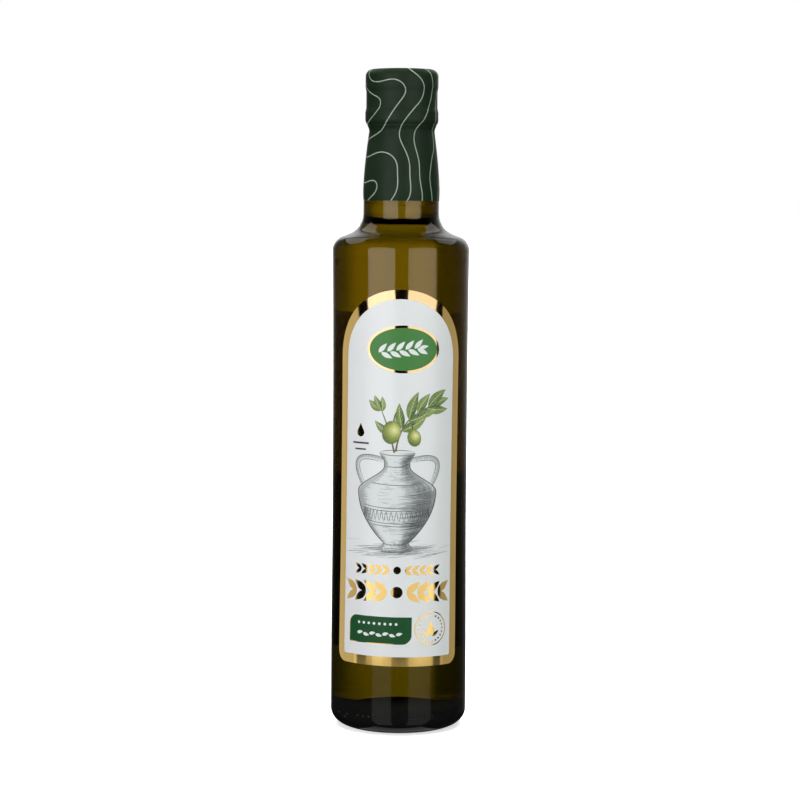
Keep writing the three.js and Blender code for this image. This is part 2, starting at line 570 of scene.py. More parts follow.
@dataclass(frozen=True)
class DarkGlass:
    """Antique green bottle glass, blown in a polished iron mould.

    The melt takes blue out first and then green, so a thick wall looks brown and a thin one olive. Blowing
    leaves a slow waviness that bends highlights, and the mould's two halves leave a faint seam each side.
    Near the table the side is rubbed by its neighbours in the crate, which veils what lies behind a little.
    """

    tint: str = "#dbcf2b"
    density: float = 800.0
    ior: float = 1.52
    shine: float = 1.0
    wave_size: float = 11.0
    wave_depth: float = 0.012
    seam_width: float = 0.12
    seam_height: float = 0.03
    rubbed_from: float = 18.0
    rubbed_full: float = 13.0
    rubbing: float = 0.007

    def build(self) -> bpy.types.Material:
        """Makes the material."""
        shader = Shader("dark_glass")
        place = shader.object_place()
        wave = shader.noise(place, 1 / (self.wave_size * MM), 1.0)
        waved = shader.bump(wave, self.wave_depth * MM)
        _, across, height = shader.add("ShaderNodeSeparateXYZ", {0: place}).outputs
        clear = shader.remap(height, self.rubbed_full * MM, self.rubbed_from * MM, 1 - self.rubbing, 1.0)
        off_seam = shader.sum("DIVIDE", across, self.seam_width * MM)
        seam = shader.sum("EXPONENT", shader.sum("MULTIPLY", shader.sum("POWER", off_seam, 2.0), -1.0))
        seamed = shader.bump(seam, self.seam_height * MM, waved)
        surface = shader.add(
            "ShaderNodeBsdfPrincipled",
            {
                "Base Color": WHITE,
                "Roughness": 0.0,
                "IOR": self.ior,
                "Specular IOR Level": self.shine,
                "Transmission Weight": clear,
                "Normal": seamed,
            },
        )
        volume = shader.add(
            "ShaderNodeVolumeAbsorption", {"Color": linear(self.tint), "Density": self.density}
        )
        return shader.finish(surface, volume)


@dataclass(frozen=True)
class BaseGlass:
    """The thick foot of the bottle: the same glass, deep here, but given an opaque near-black colour. The
    near black is partly the glass's real depth and partly painted shade for the dark under the bottle, where
    see-through glass would show some light.

    The heel is as polished as the side, the underside is stippled by the mould
    so that it grips what it stands on, and the bed lies under the oil, which leaves it without a shine.
    """

    name: str
    stipple_depth: float = 0.0
    smoothest: float = 0.02
    roughest: float = 0.02
    # The near-black colour is painted shade for the dark under the bottle.
    dark: str = "#151516"
    stipple_size: float = 0.8
    shine: float = 0.5
    ior: float = 1.52

    def build(self) -> bpy.types.Material:
        """Makes the material."""
        shader = Shader(self.name)
        stipple = shader.add(
            "ShaderNodeTexVoronoi",
            {"Vector": shader.object_place(), "Scale": 1 / (self.stipple_size * MM)},
            feature="SMOOTH_F1",
        ).outputs["Distance"]
        # Opaque near black in place of see-through glass: painted shade.
        surface = shader.add(
            "ShaderNodeBsdfPrincipled",
            {
                "Base Color": linear(self.dark),
                "Roughness": shader.remap(stipple, 0.0, 0.6, self.smoothest, self.roughest),
                "IOR": self.ior,
                "Specular IOR Level": self.shine,
                "Normal": shader.bump(stipple, -self.stipple_depth * MM),
            },
        )
        return shader.finish(surface)


@dataclass(frozen=True)
class ClearOil:
    """Filtered virgin olive oil: clear, with a green-gold body that swallows nearly all blue."""

    tint: str = "#fcf96f"
    density: float = 30.0
    ior: float = 1.47

    def build(self) -> bpy.types.Material:
        """Makes the material."""
        shader = Shader("olive_oil_liquid")
        drift = shader.noise(shader.object_place(), 1 / (40 * MM), 1.0)
        surface = shader.add(
            "ShaderNodeBsdfPrincipled",
            {
                "Base Color": WHITE,
                "Roughness": 0.0,
                "IOR": self.ior,
                "Transmission Weight": 1.0,
                "Normal": shader.bump(drift, 0.002 * MM),
            },
        )
        volume = shader.add(
            "ShaderNodeVolumeAbsorption", {"Color": linear(self.tint), "Density": self.density}
        )
        return shader.finish(surface, volume)


@dataclass(frozen=True)
class PrintedFilm:
    """Shrink film of matt-printed plastic, dark green with thin pale contour lines.

    Heat pulls it tight over the neck, so it shows a satin shine, faint upright ripples where it shrank
    most, and level creases at the cap's edges. The lines are level curves of a field that rises steadily
    round the neck and swells in hills, so they run up and down in waves. Dividing the field's distance
    from a level by its own slope keeps every line at one width.
    """

    green: str = "#223320"
    deep: str = "#172417"
    line: str = "#a3b3a0"
    line_width: float = 0.44
    lines_round: int = 11
    hill_size: float = 24.0
    hill_height: float = 5.0
    print_radius: float = 16.0
    probe: float = 0.25
    ripple: float = 0.05

    def build(self) -> bpy.types.Material:
        """Makes the material."""
        shader = Shader("capsule_film")
        place = shader.object_place()
        line = self._lines(shader, place)
        shade = shader.noise(place, 1 / (14 * MM), 3.0)
        ground = shader.mix(shade, linear(self.green), linear(self.deep))
        squeezed = shader.vector_sum("MULTIPLY", place, (1.0, 1.0, 0.16))
        ripples = shader.noise(squeezed, 1 / (2.6 * MM), 2.0)
        rippled = shader.bump(ripples, self.ripple * MM)
        grain = shader.noise(place, 1 / (0.35 * MM), 2.0)
        surface = shader.add(
            "ShaderNodeBsdfPrincipled",
            {
                "Base Color": shader.mix(line, ground, linear(self.line)),
                "Roughness": shader.sum("ADD", 0.38, shader.sum("MULTIPLY", grain, 0.12)),
                "IOR": 1.5,
                "Specular IOR Level": 0.2,
                "Normal": shader.bump(grain, 0.004 * MM, rippled),
            },
        )
        return shader.finish(surface)

    def _lines(self, shader: Shader, place: object) -> bpy.types.NodeSocket:
        """Where the printed lines are, from 0 to 1, as an output socket."""
        across, along, _ = shader.add("ShaderNodeSeparateXYZ", {0: place}).outputs
        squares = shader.sum("ADD", shader.sum("POWER", across, 2.0), shader.sum("POWER", along, 2.0))
        radius = shader.sum("MAXIMUM", shader.sum("SQRT", squares), MM)
        back = shader.sum("MULTIPLY", along, -1.0)
        heading = {0: shader.sum("DIVIDE", back, radius), 1: shader.sum("DIVIDE", across, radius)}
        tangent = shader.add("ShaderNodeCombineXYZ", heading).outputs[0]
        step = self.probe * MM
        sideways = shader.vector_sum("MULTIPLY", tangent, (step, step, step))
        stretch = shader.sum("DIVIDE", self.print_radius * MM, shader.sum("MAXIMUM", radius, 13 * MM))
        spread = shader.add("ShaderNodeCombineXYZ", {0: stretch, 1: stretch, 2: 1.0}).outputs[0]
        printed = shader.vector_sum("MULTIPLY", place, spread)
        here = self._hills(shader, printed)
        beside = self._hills(shader, shader.vector_sum("ADD", printed, sideways))
        above = self._hills(shader, shader.vector_sum("ADD", printed, (0, 0, step)))
        rise = self.lines_round / (2 * math.pi)
        steady = self.probe * rise / self.print_radius
        slope_round = shader.sum("ADD", shader.sum("SUBTRACT", beside, here), steady)
        slope_up = shader.sum("SUBTRACT", above, here)
        slope = shader.sum(
            "SQRT",
            shader.sum("ADD", shader.sum("POWER", slope_round, 2.0), shader.sum("POWER", slope_up, 2.0)),
        )
        angle = shader.sum("ARCTAN2", along, across)
        level = shader.sum("ADD", here, shader.sum("MULTIPLY", angle, rise))
        off_level = shader.sum("ABSOLUTE", shader.sum("SUBTRACT", shader.sum("FRACT", level), 0.5))
        distance = shader.sum(
            "DIVIDE", shader.sum("MULTIPLY", off_level, self.probe), shader.sum("MAXIMUM", slope, 0.004)
        )
        return shader.add(
            "ShaderNodeMapRange",
            {
                "Value": distance,
                "From Min": self.line_width * 0.36,
                "From Max": self.line_width * 0.64,
                "To Min": 1.0,
                "To Max": 0.0,
            },
        ).outputs[0]

    def _hills(self, shader: Shader, place: object) -> bpy.types.NodeSocket:
        """The hills that bend the lines, as an output socket."""
        lifted = shader.vector_sum("ADD", place, (0.213, 0.082, 0.011))
        return shader.sum("MULTIPLY", shader.noise(lifted, 1 / (self.hill_size * MM), 0.0), self.hill_height)


@dataclass(frozen=True)
class LabelPaper:
    """Coated label paper, wood-free and super-calendered: cool white, with a low even sheen."""

    name: str = "label_paper"
    white: str = "#f0f0f3"
    shaded: str = "#ebebef"

    def build(self) -> bpy.types.Material:
        """Makes the material."""
        shader = Shader(self.name)
        place = shader.object_place()
        cloud = shader.noise(place, 1 / (18 * MM), 2.0)
        fibre = shader.noise(place, 1 / (0.25 * MM), 3.0)
        surface = shader.add(
            "ShaderNodeBsdfPrincipled",
            {
                "Base Color": shader.mix(cloud, linear(self.white), linear(self.shaded)),
                "Roughness": 0.27,
                "IOR": 1.5,
                "Normal": shader.bump(fibre, 0.006 * MM),
            },
        )
        return shader.finish(surface)


@dataclass(frozen=True)
class StampedFoil:
    """Hot-stamped gold foil: lacquered aluminium, a mirror that follows the paper's fine tooth."""

    gold: str = "#d9b35f"
    pale: str = "#e1bf71"
    roughness: float = 0.06

    def build(self) -> bpy.types.Material:
        """Makes the material."""
        shader = Shader("gold_foil")
        place = shader.object_place()
        drawn = shader.vector_sum("MULTIPLY", place, (1.0, 1.0, 0.12))
        streak = shader.noise(drawn, 1 / (1.1 * MM), 2.0)
        tooth = shader.noise(place, 1 / (0.4 * MM), 2.0)
        surface = shader.add(
            "ShaderNodeBsdfPrincipled",
            {
                "Base Color": shader.mix(streak, linear(self.gold), linear(self.pale)),
                "Metallic": 1.0,
                "Roughness": shader.sum("ADD", self.roughness, shader.sum("MULTIPLY", tooth, 0.06)),
                "Coat Weight": 0.6,
                "Coat Roughness": 0.08,
                "Normal": shader.bump(streak, 0.0025 * MM),
            },
        )
        return shader.finish(surface)


@dataclass(frozen=True)
class FlatInk:
    """Offset ink on coated paper: one even colour with the paper's sheen and a trace of mottle."""

    name: str
    colour: str
    shine: float = 0.5

    def build(self) -> bpy.types.Material:
        """Makes the material."""
        shader = Shader(self.name)
        mottle = shader.noise(shader.object_place(), 1 / (0.8 * MM), 3.0)
        ground = linear(self.colour)
        surface = shader.add(
            "ShaderNodeBsdfPrincipled",
            {
                "Base Color": shader.mix(mottle, ground, blend(ground, WHITE, 0.02)),
                "Roughness": 0.42,
                "IOR": 1.5,
                "Specular IOR Level": self.shine,
                "Normal": shader.bump(mottle, 0.003 * MM),
            },
        )
        return shader.finish(surface)


@dataclass(frozen=True)
class DrawnInk:
    """Printed drawing: each stroke holds its own ink colour, a little broken by the paper."""

    def build(self) -> bpy.types.Material:
        """Makes the material."""
        shader = Shader("drawn_ink")
        ink = shader.add("ShaderNodeAttribute", attribute_name="Ink").outputs["Color"]
        tooth = shader.noise(shader.object_place(), 1 / (0.3 * MM), 3.0)
        broken = shader.add(
            "ShaderNodeMapRange", {"Value": tooth, "From Min": 0.5, "From Max": 0.75, "To Max": 0.3}
        ).outputs[0]
        surface = shader.add(
            "ShaderNodeBsdfPrincipled",
            {
                "Base Color": shader.mix(broken, ink, linear("#ebeef0")),
                "Roughness": 0.44,
                "IOR": 1.5,
                "Normal": shader.bump(tooth, 0.003 * MM),
            },
        )
        return shader.finish(surface)


@dataclass(frozen=True)
class PaleFloor:
    """A plain pale studio floor, painted and matt.

    The camera sees it evenly pale, glowing a little as if lit from below. Sight through the bottle finds it
    glowing only in a sector behind the bottle, with painted shade on both sides as if dark cards stood there,
    and painted shade, a little greener, near its foot in place of the bottle's own shadow. Each card's edge
    is a bearing from a point that lies some millimetres to the side of the axis.
    """

    seen: str = "#fbfbfa"
    felt: str = "#c3c2be"
    sector: tuple[float, float] = (-20.5, 34.0)
    edge_offsets: tuple[float, float] = (17.8, -28.5)
    # Painted shade beside the bright sector, as if dark cards stood there, and near the foot for the bottle's
    # shadow.
    left_painted_shade: Colour = (0.07, 0.085, 0.08, 1.0)
    right_painted_shade: Colour = (0.35, 0.44, 0.38, 1.0)
    near_painted_shade: Colour = (0.64, 0.76, 0.66, 1.0)
    near_and_far: tuple[float, float] = (0.15, 1.0)
    edge_softness: tuple[float, float] = (0.05, 0.2)
    glow: float = 0.62
    glow_behind: float = 1.39

    def build(self) -> bpy.types.Material:
        """Makes the material."""
        shader = Shader("pale_floor")
        place = shader.object_place()
        cloud = shader.noise(place, 1 / 0.5, 2.0)
        across, along, _ = shader.add("ShaderNodeSeparateXYZ", {0: place}).outputs
        left_bearing, right_bearing = (
            shader.sum("ARCTAN2", shader.sum("SUBTRACT", across, offset * MM), along)
            for offset in self.edge_offsets
        )
        left, right = (math.radians(edge) for edge in self.sector)
        bright = linear(self.felt)
        soft_left, soft_right = self.edge_softness
        from_left = shader.remap(left_bearing, left - soft_left, left + soft_left, 0.0, 1.0)
        to_right = shader.remap(right_bearing, right - soft_right, right + soft_right, 0.0, 1.0)
        reach = shader.add("ShaderNodeVectorMath", {0: place}, operation="LENGTH").outputs["Value"]
        far = shader.remap(reach, *self.near_and_far, 0.0, 1.0)
        # Painted shade outside the bright sector behind the bottle.
        sides = shader.vector_sum(
            "MULTIPLY",
            shader.mix(from_left, self.left_painted_shade, bright),
            shader.mix(to_right, WHITE, self.right_painted_shade),
        )
        # Painted shade near the foot, a little greener, in place of the bottle's shadow.
        felt = shader.vector_sum("MULTIPLY", sides, shader.mix(far, self.near_painted_shade, WHITE))
        ray = shader.add("ShaderNodeLightPath").outputs
        direct, through = ray["Is Camera Ray"], ray["Is Transmission Ray"]
        ground = shader.mix(through, shader.mix(direct, felt, linear(self.seen)), BLACK)
        glow = shader.sum(
            "ADD",
            shader.sum("MULTIPLY", direct, self.glow),
            shader.sum("MULTIPLY", through, self.glow_behind),
        )
        even = shader.sum("SUBTRACT", 1.0, shader.sum("MULTIPLY", cloud, 0.01))
        surface = shader.add(
            "ShaderNodeBsdfPrincipled",
            {
                "Base Color": shader.mix(even, BLACK, ground),
                "Roughness": 0.9,
                "Specular IOR Level": 0.1,
                "Emission Color": shader.mix(through, linear(self.seen), felt),
                "Emission Strength": glow,
            },
        )
        return shader.finish(surface)


# Drawn work on the labels


Stroke = Callable[[float], Point]


def straight(start: Point, end: Point) -> Stroke:
    """A straight path from one place to another, as a function of a share from 0 to 1."""
    return lambda t: (start[0] + (end[0] - start[0]) * t, start[1] + (end[1] - start[1]) * t)


def curved(start: Point, pull: Point, end: Point) -> Stroke:
    """A path that bends towards a pull point on its way, as a function of a share from 0 to 1."""
    return lambda t: tuple(
        (1 - t) ** 2 * a + 2 * t * (1 - t) * b + t * t * c for a, b, c in zip(start, pull, end)
    )


def lens(t: float) -> float:
    """A half width that swells from nothing and closes again, fullest before the middle."""
    return math.sin(math.pi * t**0.8)


def pen(t: float) -> float:
    """The half width of a pencil stroke that starts and ends fine."""
    return min(1.0, 6 * t, 4 * (1 - t)) * 0.85 + 0.15


@dataclass
class Drawing:
    """Flat strokes and patches, each a little grid of faces with a colour at every corner."""

    name: str
    places: list[tuple[float, float, float]] = field(default_factory=list)
    inks: list[Colour] = field(default_factory=list)
    faces: list[tuple[int, ...]] = field(default_factory=list)

    def patch(
        self,
        path: Stroke,
        half_width: Callable[[float], float],
        ink: Callable[[float, float], Colour],
        height: float,
        steps: int = 8,
        columns: int = 1,
    ) -> None:
        """Adds a shape with a middle line and a changing width.

        Args:
            path: The middle line, as a function of a share from 0 to 1.
            half_width: Half the width in millimetres at a share of the line.
            ink: The colour at a side, from -1 to 1, and a share of the line.
            height: The height above the glass in millimetres.
            steps: How many faces lie along the line.
            columns: How many faces lie across it.
        """
        first = len(self.places)
        small = 1e-3
        for i in range(steps + 1):
            t = i / steps
            before = path(max(0.0, t - small))
            after = path(min(1.0, t + small))
            dx, dy = after[0] - before[0], after[1] - before[1]
            length = math.hypot(dx, dy) or 1.0
            x, y = path(t)
            half = max(0.012, half_width(t))
            for j in range(columns + 1):
                side = 2 * j / columns - 1
                self.places.append((x - dy / length * half * side, y + dx / length * half * side, height))
                self.inks.append(ink(side, t))
        across = columns + 1
        for i in range(steps):
            for j in range(columns):
                low = first + i * across + j
                self.faces.append((low, low + across, low + across + 1, low + 1))

    def line(self, path: Stroke, width: float, ink: Colour, height: float, steps: int = 8) -> None:
        """Adds a stroke that starts and ends fine.

        Args:
            path: The stroke's middle line.
            width: Its full width in millimetres.
            ink: Its colour.
            height: Its height above the glass in millimetres.
            steps: How many faces lie along it.
        """
        self.patch(path, lambda t: width / 2 * pen(t), lambda side, t: ink, height, steps)

    def build(self) -> bpy.types.Object:
        """Makes one flat mesh of everything drawn so far."""
        mesh = bpy.data.meshes.new(self.name)
        mesh.from_pydata([tuple(c * MM for c in place) for place in self.places], [], self.faces)
        colours = mesh.color_attributes.new("Ink", "FLOAT_COLOR", "POINT")
        for corner, ink in zip(colours.data, self.inks):
            corner.color = ink
        piece = bpy.data.objects.new(self.name, mesh)
        bpy.context.scene.collection.objects.link(piece)
        return piece


@dataclass
class OliveSprig:
    """A drawn olive branch: a bent stem with leaves in pairs and a few olives."""

    start: Point = (-1.5, 128.5)
    pull: Point = (0.0, 144.0)
    end: Point = (13.5, 148.5)
    leaf_length: float = 14.5
    leaf_width: float = 4.4
    pairs: int = 4
    seed: int = 11
    light: Colour = linear("#8fa548")
    dark: Colour = linear("#3f6224")
    rib: Colour = linear("#c6cf8d")
    bark: Colour = linear("#6a6a3c")

    def draw(self, drawing: Drawing) -> None:
        """Adds the branch to a drawing."""
        stem = curved(self.start, self.pull, self.end)
        drawing.patch(stem, lambda t: 0.42 * (1 - 0.6 * t), lambda side, t: self.bark, 0.18, 26)
        chance = random.Random(self.seed)
        for i in range(self.pairs):
            share = 0.34 + 0.6 * i / (self.pairs - 1)
            for turn in (-1, 1):
                here = min(0.985, share + 0.035 * (turn > 0))
                root, ahead = stem(here), stem(min(1.0, here + 0.01))
                heading = math.atan2(ahead[1] - root[1], ahead[0] - root[0])
                open_angle = math.radians(chance.uniform(30, 46)) * (1.1 - 0.5 * here)
                length = self.leaf_length * chance.uniform(0.84, 1.05) * (1 - 0.22 * here)
                self._leaf(drawing, root, heading + turn * open_angle, length, turn, chance)
        tip = stem(1.0)
        before = stem(0.97)
        onward = math.atan2(tip[1] - before[1], tip[0] - before[0])
        self._leaf(drawing, tip, onward, self.leaf_length * 0.75, 1, chance)

    def _leaf(
        self, drawing: Drawing, root: Point, angle: float, length: float, turn: int, chance: random.Random
    ) -> None:
        """Adds one leaf from its root on the stem, bent a little to one side."""
        end = (root[0] + length * math.cos(angle), root[1] + length * math.sin(angle))
        bend = turn * length * 0.1
        pull = (
            (root[0] + end[0]) / 2 - bend * math.sin(angle),
            (root[1] + end[1]) / 2 + bend * math.cos(angle),
        )
        path = curved(root, pull, end)
        width = self.leaf_width * chance.uniform(0.82, 1.05)
        shade = chance.uniform(0.0, 0.35)
        height = 0.185 + chance.uniform(0.0, 0.012)

        def ink(side: float, t: float) -> Colour:
            lit = 0.5 + 0.5 * side * turn
            return blend(self.dark, self.light, 0.15 + 0.75 * lit + 0.2 * math.sin(9 * t) * side - shade)

        drawing.patch(path, lambda t: width / 2 * lens(t), ink, height, 16, 6)
        drawing.line(path, 0.3, self.rib, height + 0.006, 12)
        for i in range(1, 6):
            t = 0.12 + 0.13 * i
            x, y = path(t)
            for side in (-1, 1):
                reach = width * 0.36 * lens(t)
                tip = (
                    x + reach * 1.6 * math.cos(angle) - side * reach * math.sin(angle),
                    y + reach * 1.6 * math.sin(angle) + side * reach * math.cos(angle),
                )
                drawing.line(straight((x, y), tip), 0.13, self.rib, height + 0.005, 3)


@dataclass
class Olive:
    """A drawn green olive on a short stalk."""

    centre: Point
    tilt: float
    length: float = 8.6
    width: float = 6.4
    lit: Colour = linear("#efe9a4")
    body: Colour = linear("#9aa63a")
    shade: Colour = linear("#56691f")
    rim: Colour = linear("#3f4f1a")

    def draw(self, drawing: Drawing) -> None:
        """Adds the olive to a drawing."""
        dx, dy = math.cos(self.tilt) * self.length / 2, math.sin(self.tilt) * self.length / 2
        low = (self.centre[0] - dx, self.centre[1] - dy)
        high = (self.centre[0] + dx, self.centre[1] + dy)
        path = straight(high, low)

        def ink(side: float, t: float) -> Colour:
            along = 2 * t - 1
            near = math.hypot(side * 0.8 - 0.25, along + 0.25)
            tone = blend(self.lit, self.body, near * 1.5)
            return blend(tone, self.shade, (near - 0.55) * 1.5)

        def half(t: float) -> float:
            return self.width / 2 * math.sqrt(max(0.0, 1 - (2 * t - 1) ** 2))

        stalk = curved(high, (high[0] + dx * 0.4, high[1] + 2.0), (high[0] + dx * 0.2 + 0.8, high[1] + 3.6))
        drawing.patch(stalk, lambda t: 0.26, lambda side, t: self.rim, 0.2, 8)
        drawing.patch(path, lambda t: half(t) + 0.14, lambda side, t: self.rim, 0.206, 28)
        drawing.patch(path, half, ink, 0.212, 28, 10)


@dataclass
class PencilAmphora:
    """A two-handled oil jar in pencil: soft tone, level strokes round its form, and a firm outline."""

    foot_z: float = 84.5
    lip_z: float = 128.0
    middle: float = -0.8
    belly: float = 18.2
    ground: Colour = linear("#d3d5d8")
    pale: Colour = linear("#e8ebed")
    grey: Colour = linear("#6f7276")
    graphite: Colour = linear("#393b3f")
    flatten: float = 0.17
    waves: int = 19
    wave_z: Point = (99.4, 103.8)
    wave_reach: float = 84.0
    handle: float = 1.05

    def half_width(self, z: float) -> float:
        """The jar's half width in millimetres at a height."""
        t = (z - self.foot_z) / (self.lip_z - self.foot_z)
        if t < 0.07:
            return 7.6 - 2.2 * smoothstep(t, 0.0, 0.07)
        if t < 0.6:
            return 5.4 + (self.belly - 5.4) * math.sin(math.pi / 2 * ((t - 0.07) / 0.53) ** 0.92)
        if t < 0.86:
            return self.belly + (5.6 - self.belly) * smoothstep(t, 0.6, 0.86)
        return 5.6 + 2.3 * smoothstep(t, 0.9, 1.0)

    def _round(self, z: float, start: float, end: float) -> Stroke:
        """A level stroke round the jar between two sides, which sags as seen from a little above."""
        half = self.half_width(z)

        def path(t: float) -> Point:
            side = start + (end - start) * t
            return (
                self.middle + half * side,
                z - half * self.flatten * math.sqrt(max(0.0, 1 - side * side)),
            )

        return path

    def draw(self, drawing: Drawing) -> None:
        """Adds the jar to a drawing."""
        chance = random.Random(5)
        self._tone(drawing)
        self._handles(drawing, chance)
        z = self.foot_z + 0.5
        while z < self.lip_z - 0.3:
            self._strokes(drawing, z, chance)
            z += 0.42
        for side in (-1, 1):
            for shift in (0.0, 0.12, -0.1):
                drawing.line(self._edge(side, shift), 0.24, self.graphite, 0.176, 60)
        for z in (self.foot_z, self.foot_z + 3.0, 97.2, 98.6, 104.6, 106.0, 115.6, 122.4, self.lip_z):
            drawing.line(self._round(z, -1.0, 1.0), 0.26, self.graphite, 0.178, 22)
        drawing.line(self._mouth, 0.26, self.graphite, 0.178, 22)
        self._waves(drawing)
        self._ground(drawing, chance)

    def _at(self, t: float) -> float:
        """The height at a share of the jar."""
        return self.foot_z + (self.lip_z - self.foot_z) * t

    def _edge(self, side: int, shift: float) -> Stroke:
        """The outline up one side, moved out a little."""
        return lambda t: (self.middle + side * (self.half_width(self._at(t)) + shift), self._at(t))

    def _mouth(self, t: float) -> Point:
        """A place on the far side of the mouth's rim, which shows as a low arch."""
        across = 2 * t - 1
        rise = 1.1 * math.sqrt(max(0.0, 1 - across**2))
        return self.middle + self.half_width(self.lip_z) * across, self.lip_z + rise

    def _wave(self, start: float, end: float) -> Stroke:
        """One wave of the band round the belly, between two sides."""
        half = self.half_width(self.wave_z[0])
        low, high = self.wave_z
        sag = half * self.flatten * math.sqrt(max(0.0, 1 - start * start))

        def path(t: float) -> Point:
            rise = (high - low) * (0.5 - 0.5 * math.cos(2 * math.pi * t))
            return self.middle + half * (start + (end - start) * t), low + rise - sag

        return path

    def _tone(self, drawing: Drawing) -> None:
        """Adds the soft grey under the strokes, darkest towards the right."""

        def ink(side: float, t: float) -> Colour:
            dark = smoothstep(-side, 0.0, 0.95) * 0.75 + smoothstep(side, 0.6, 1.0) * 0.5
            return blend(self.pale, self.grey, 0.06 + dark * 0.72)

        upright = straight((self.middle, self.foot_z), (self.middle, self.lip_z))
        drawing.patch(upright, lambda t: self.half_width(self._at(t)), ink, 0.163, 60, 14)

    def _strokes(self, drawing: Drawing, z: float, chance: random.Random) -> None:
        """Adds the level strokes at one height."""
        tone = blend(self.grey, self.graphite, chance.uniform(0.0, 0.8))
        start = chance.uniform(0.0, 0.35)
        drawing.line(self._round(z, start, 0.985), chance.uniform(0.13, 0.26), tone, 0.17, 14)
        drawing.line(self._round(z + 0.25, start + 0.3, 0.985), chance.uniform(0.1, 0.22), tone, 0.172, 10)
        drawing.line(self._round(z, -0.985, chance.uniform(-0.86, -0.66)), 0.16, self.grey, 0.17, 5)
        if chance.random() < 0.5:
            begin = chance.uniform(-0.55, -0.1)
            drawing.line(self._round(z, begin, begin + chance.uniform(0.15, 0.5)), 0.1, self.grey, 0.17, 6)

    def _handles(self, drawing: Drawing, chance: random.Random) -> None:
        """Adds the two ear-shaped handles."""
        for side in (-1, 1):
            top = (self.middle + side * 5.8, 124.6)
            low = (self.middle + side * 15.6, 113.4)
            far = (self.middle + side * 25.5, 129.5)
            path = curved(top, far, low)
            drawing.patch(path, lambda t: self.handle, self._handle_tone(side), 0.164, 24, 4)
            for shift in (-self.handle, self.handle):
                drawing.line(self._along(path, shift), 0.24, self.graphite, 0.176, 26)
            for i in range(26):
                t = (i + chance.uniform(0.1, 0.9)) / 27
                one = self._beside(path, t, -0.9)
                two = self._beside(path, min(1.0, t + 0.02), 0.3)
                drawing.line(straight(one, two), 0.14, self.grey, 0.172, 3)

    def _handle_tone(self, side: int) -> Callable[[float, float], Colour]:
        """The grey of one handle, darker towards the jar's right."""
        return lambda across, t: blend(self.pale, self.grey, 0.35 + 0.35 * across * side)

    def _along(self, path: Stroke, shift: float) -> Stroke:
        """A path that keeps a distance to the left of another."""
        return lambda t: self._beside(path, t, shift)

    @staticmethod
    def _beside(path: Stroke, t: float, shift: float) -> Point:
        """A place beside a path, a distance to its left."""
        x, y = path(t)
        ahead = path(min(1.0, t + 0.01))
        behind = path(max(0.0, t - 0.01))
        dx, dy = ahead[0] - behind[0], ahead[1] - behind[1]
        length = math.hypot(dx, dy) or 1.0
        return x - dy / length * shift, y + dx / length * shift

    def _waves(self, drawing: Drawing) -> None:
        """Adds a band of waves round the belly."""
        turns = [self.wave_reach * (2 * i / self.waves - 1) for i in range(self.waves + 1)]
        sides = [math.sin(math.radians(turn)) for turn in turns]
        for start, end in pairwise(sides):
            drawing.line(self._wave(start, end), 0.22, self.graphite, 0.179, 12)

    def _ground(self, drawing: Drawing, chance: random.Random) -> None:
        """Adds the slanting strokes of shadow that the jar stands in."""
        for _ in range(170):
            x = self.middle + 2 + chance.gauss(0, 8.6)
            z = 84.6 + chance.gauss(0, 1.5) - 0.02 * abs(x)
            reach = chance.uniform(2.5, 6.5)
            tone = blend(self.grey, self.pale, chance.uniform(0.0, 0.55))
            drawing.line(straight((x - reach, z - 0.5), (x + reach, z + 0.5)), 0.15, tone, 0.166, 6)


# Pieces


def circle(centre: Point, reach_s: float, reach_z: float, count: int = 72) -> list[Point]:
    """An ellipse's outline.

    Args:
        centre: Its middle in millimetres.
        reach_s: Its half width.
        reach_z: Its half height.
        count: How many points it has.

    Returns:
        The points, counter-clockwise.
    """
    angles = [2 * math.pi * i / count for i in range(count)]
    return [(centre[0] + reach_s * math.cos(a), centre[1] + reach_z * math.sin(a)) for a in angles]


def rounded_box(low: Point, high: Point, corners: tuple[float, float, float, float]) -> list[Point]:
    """A box's outline with a round of its own at each corner.

    Args:
        low: The lower left corner in millimetres.
        high: The upper right corner.
        corners: The radius at lower right, upper right, upper left and lower left.

    Returns:
        The points, counter-clockwise.
    """
    turns = (
        (high[0], low[1], -1, 1),
        (high[0], high[1], -1, -1),
        (low[0], high[1], 1, -1),
        (low[0], low[1], 1, 1),
    )
    outline = []
    for (s, z, inward_s, inward_z), radius, start in zip(turns, corners, (-90, 0, 90, 180)):
        if radius < 0.05:
            outline.append((s, z))
            continue
        centre = (s + inward_s * radius, z + inward_z * radius)
        for i in range(9):
            angle = math.radians(start + 90 * i / 8)
            outline.append((centre[0] + radius * math.cos(angle), centre[1] + radius * math.sin(angle)))
    return outline


def leaf_outline(root: Point, angle: float, length: float, width: float) -> list[Point]:
    """A pointed leaf's outline.

    Args:
        root: Where it starts in millimetres.
        angle: Where it points, in radians.
        length: Its length.
        width: Its width.

    Returns:
        The points, counter-clockwise.
    """
    steps = 9
    shares = [i / steps for i in range(steps + 1)]
    there = [(t * length, -width / 2 * lens(t)) for t in shares]
    back = [(t * length, width / 2 * lens(t)) for t in reversed(shares[1:-1])]
    cos, sin = math.cos(angle), math.sin(angle)
    return [(root[0] + x * cos - y * sin, root[1] + x * sin + y * cos) for x, y in there + back]


class Slot(Enum):
    """The record's material slots."""

    GLASS = "dark_glass"
    OIL = "oil"
    FILM = "capsule_film"
    FRONT = "label_paper"
    BACK = "back_paper"


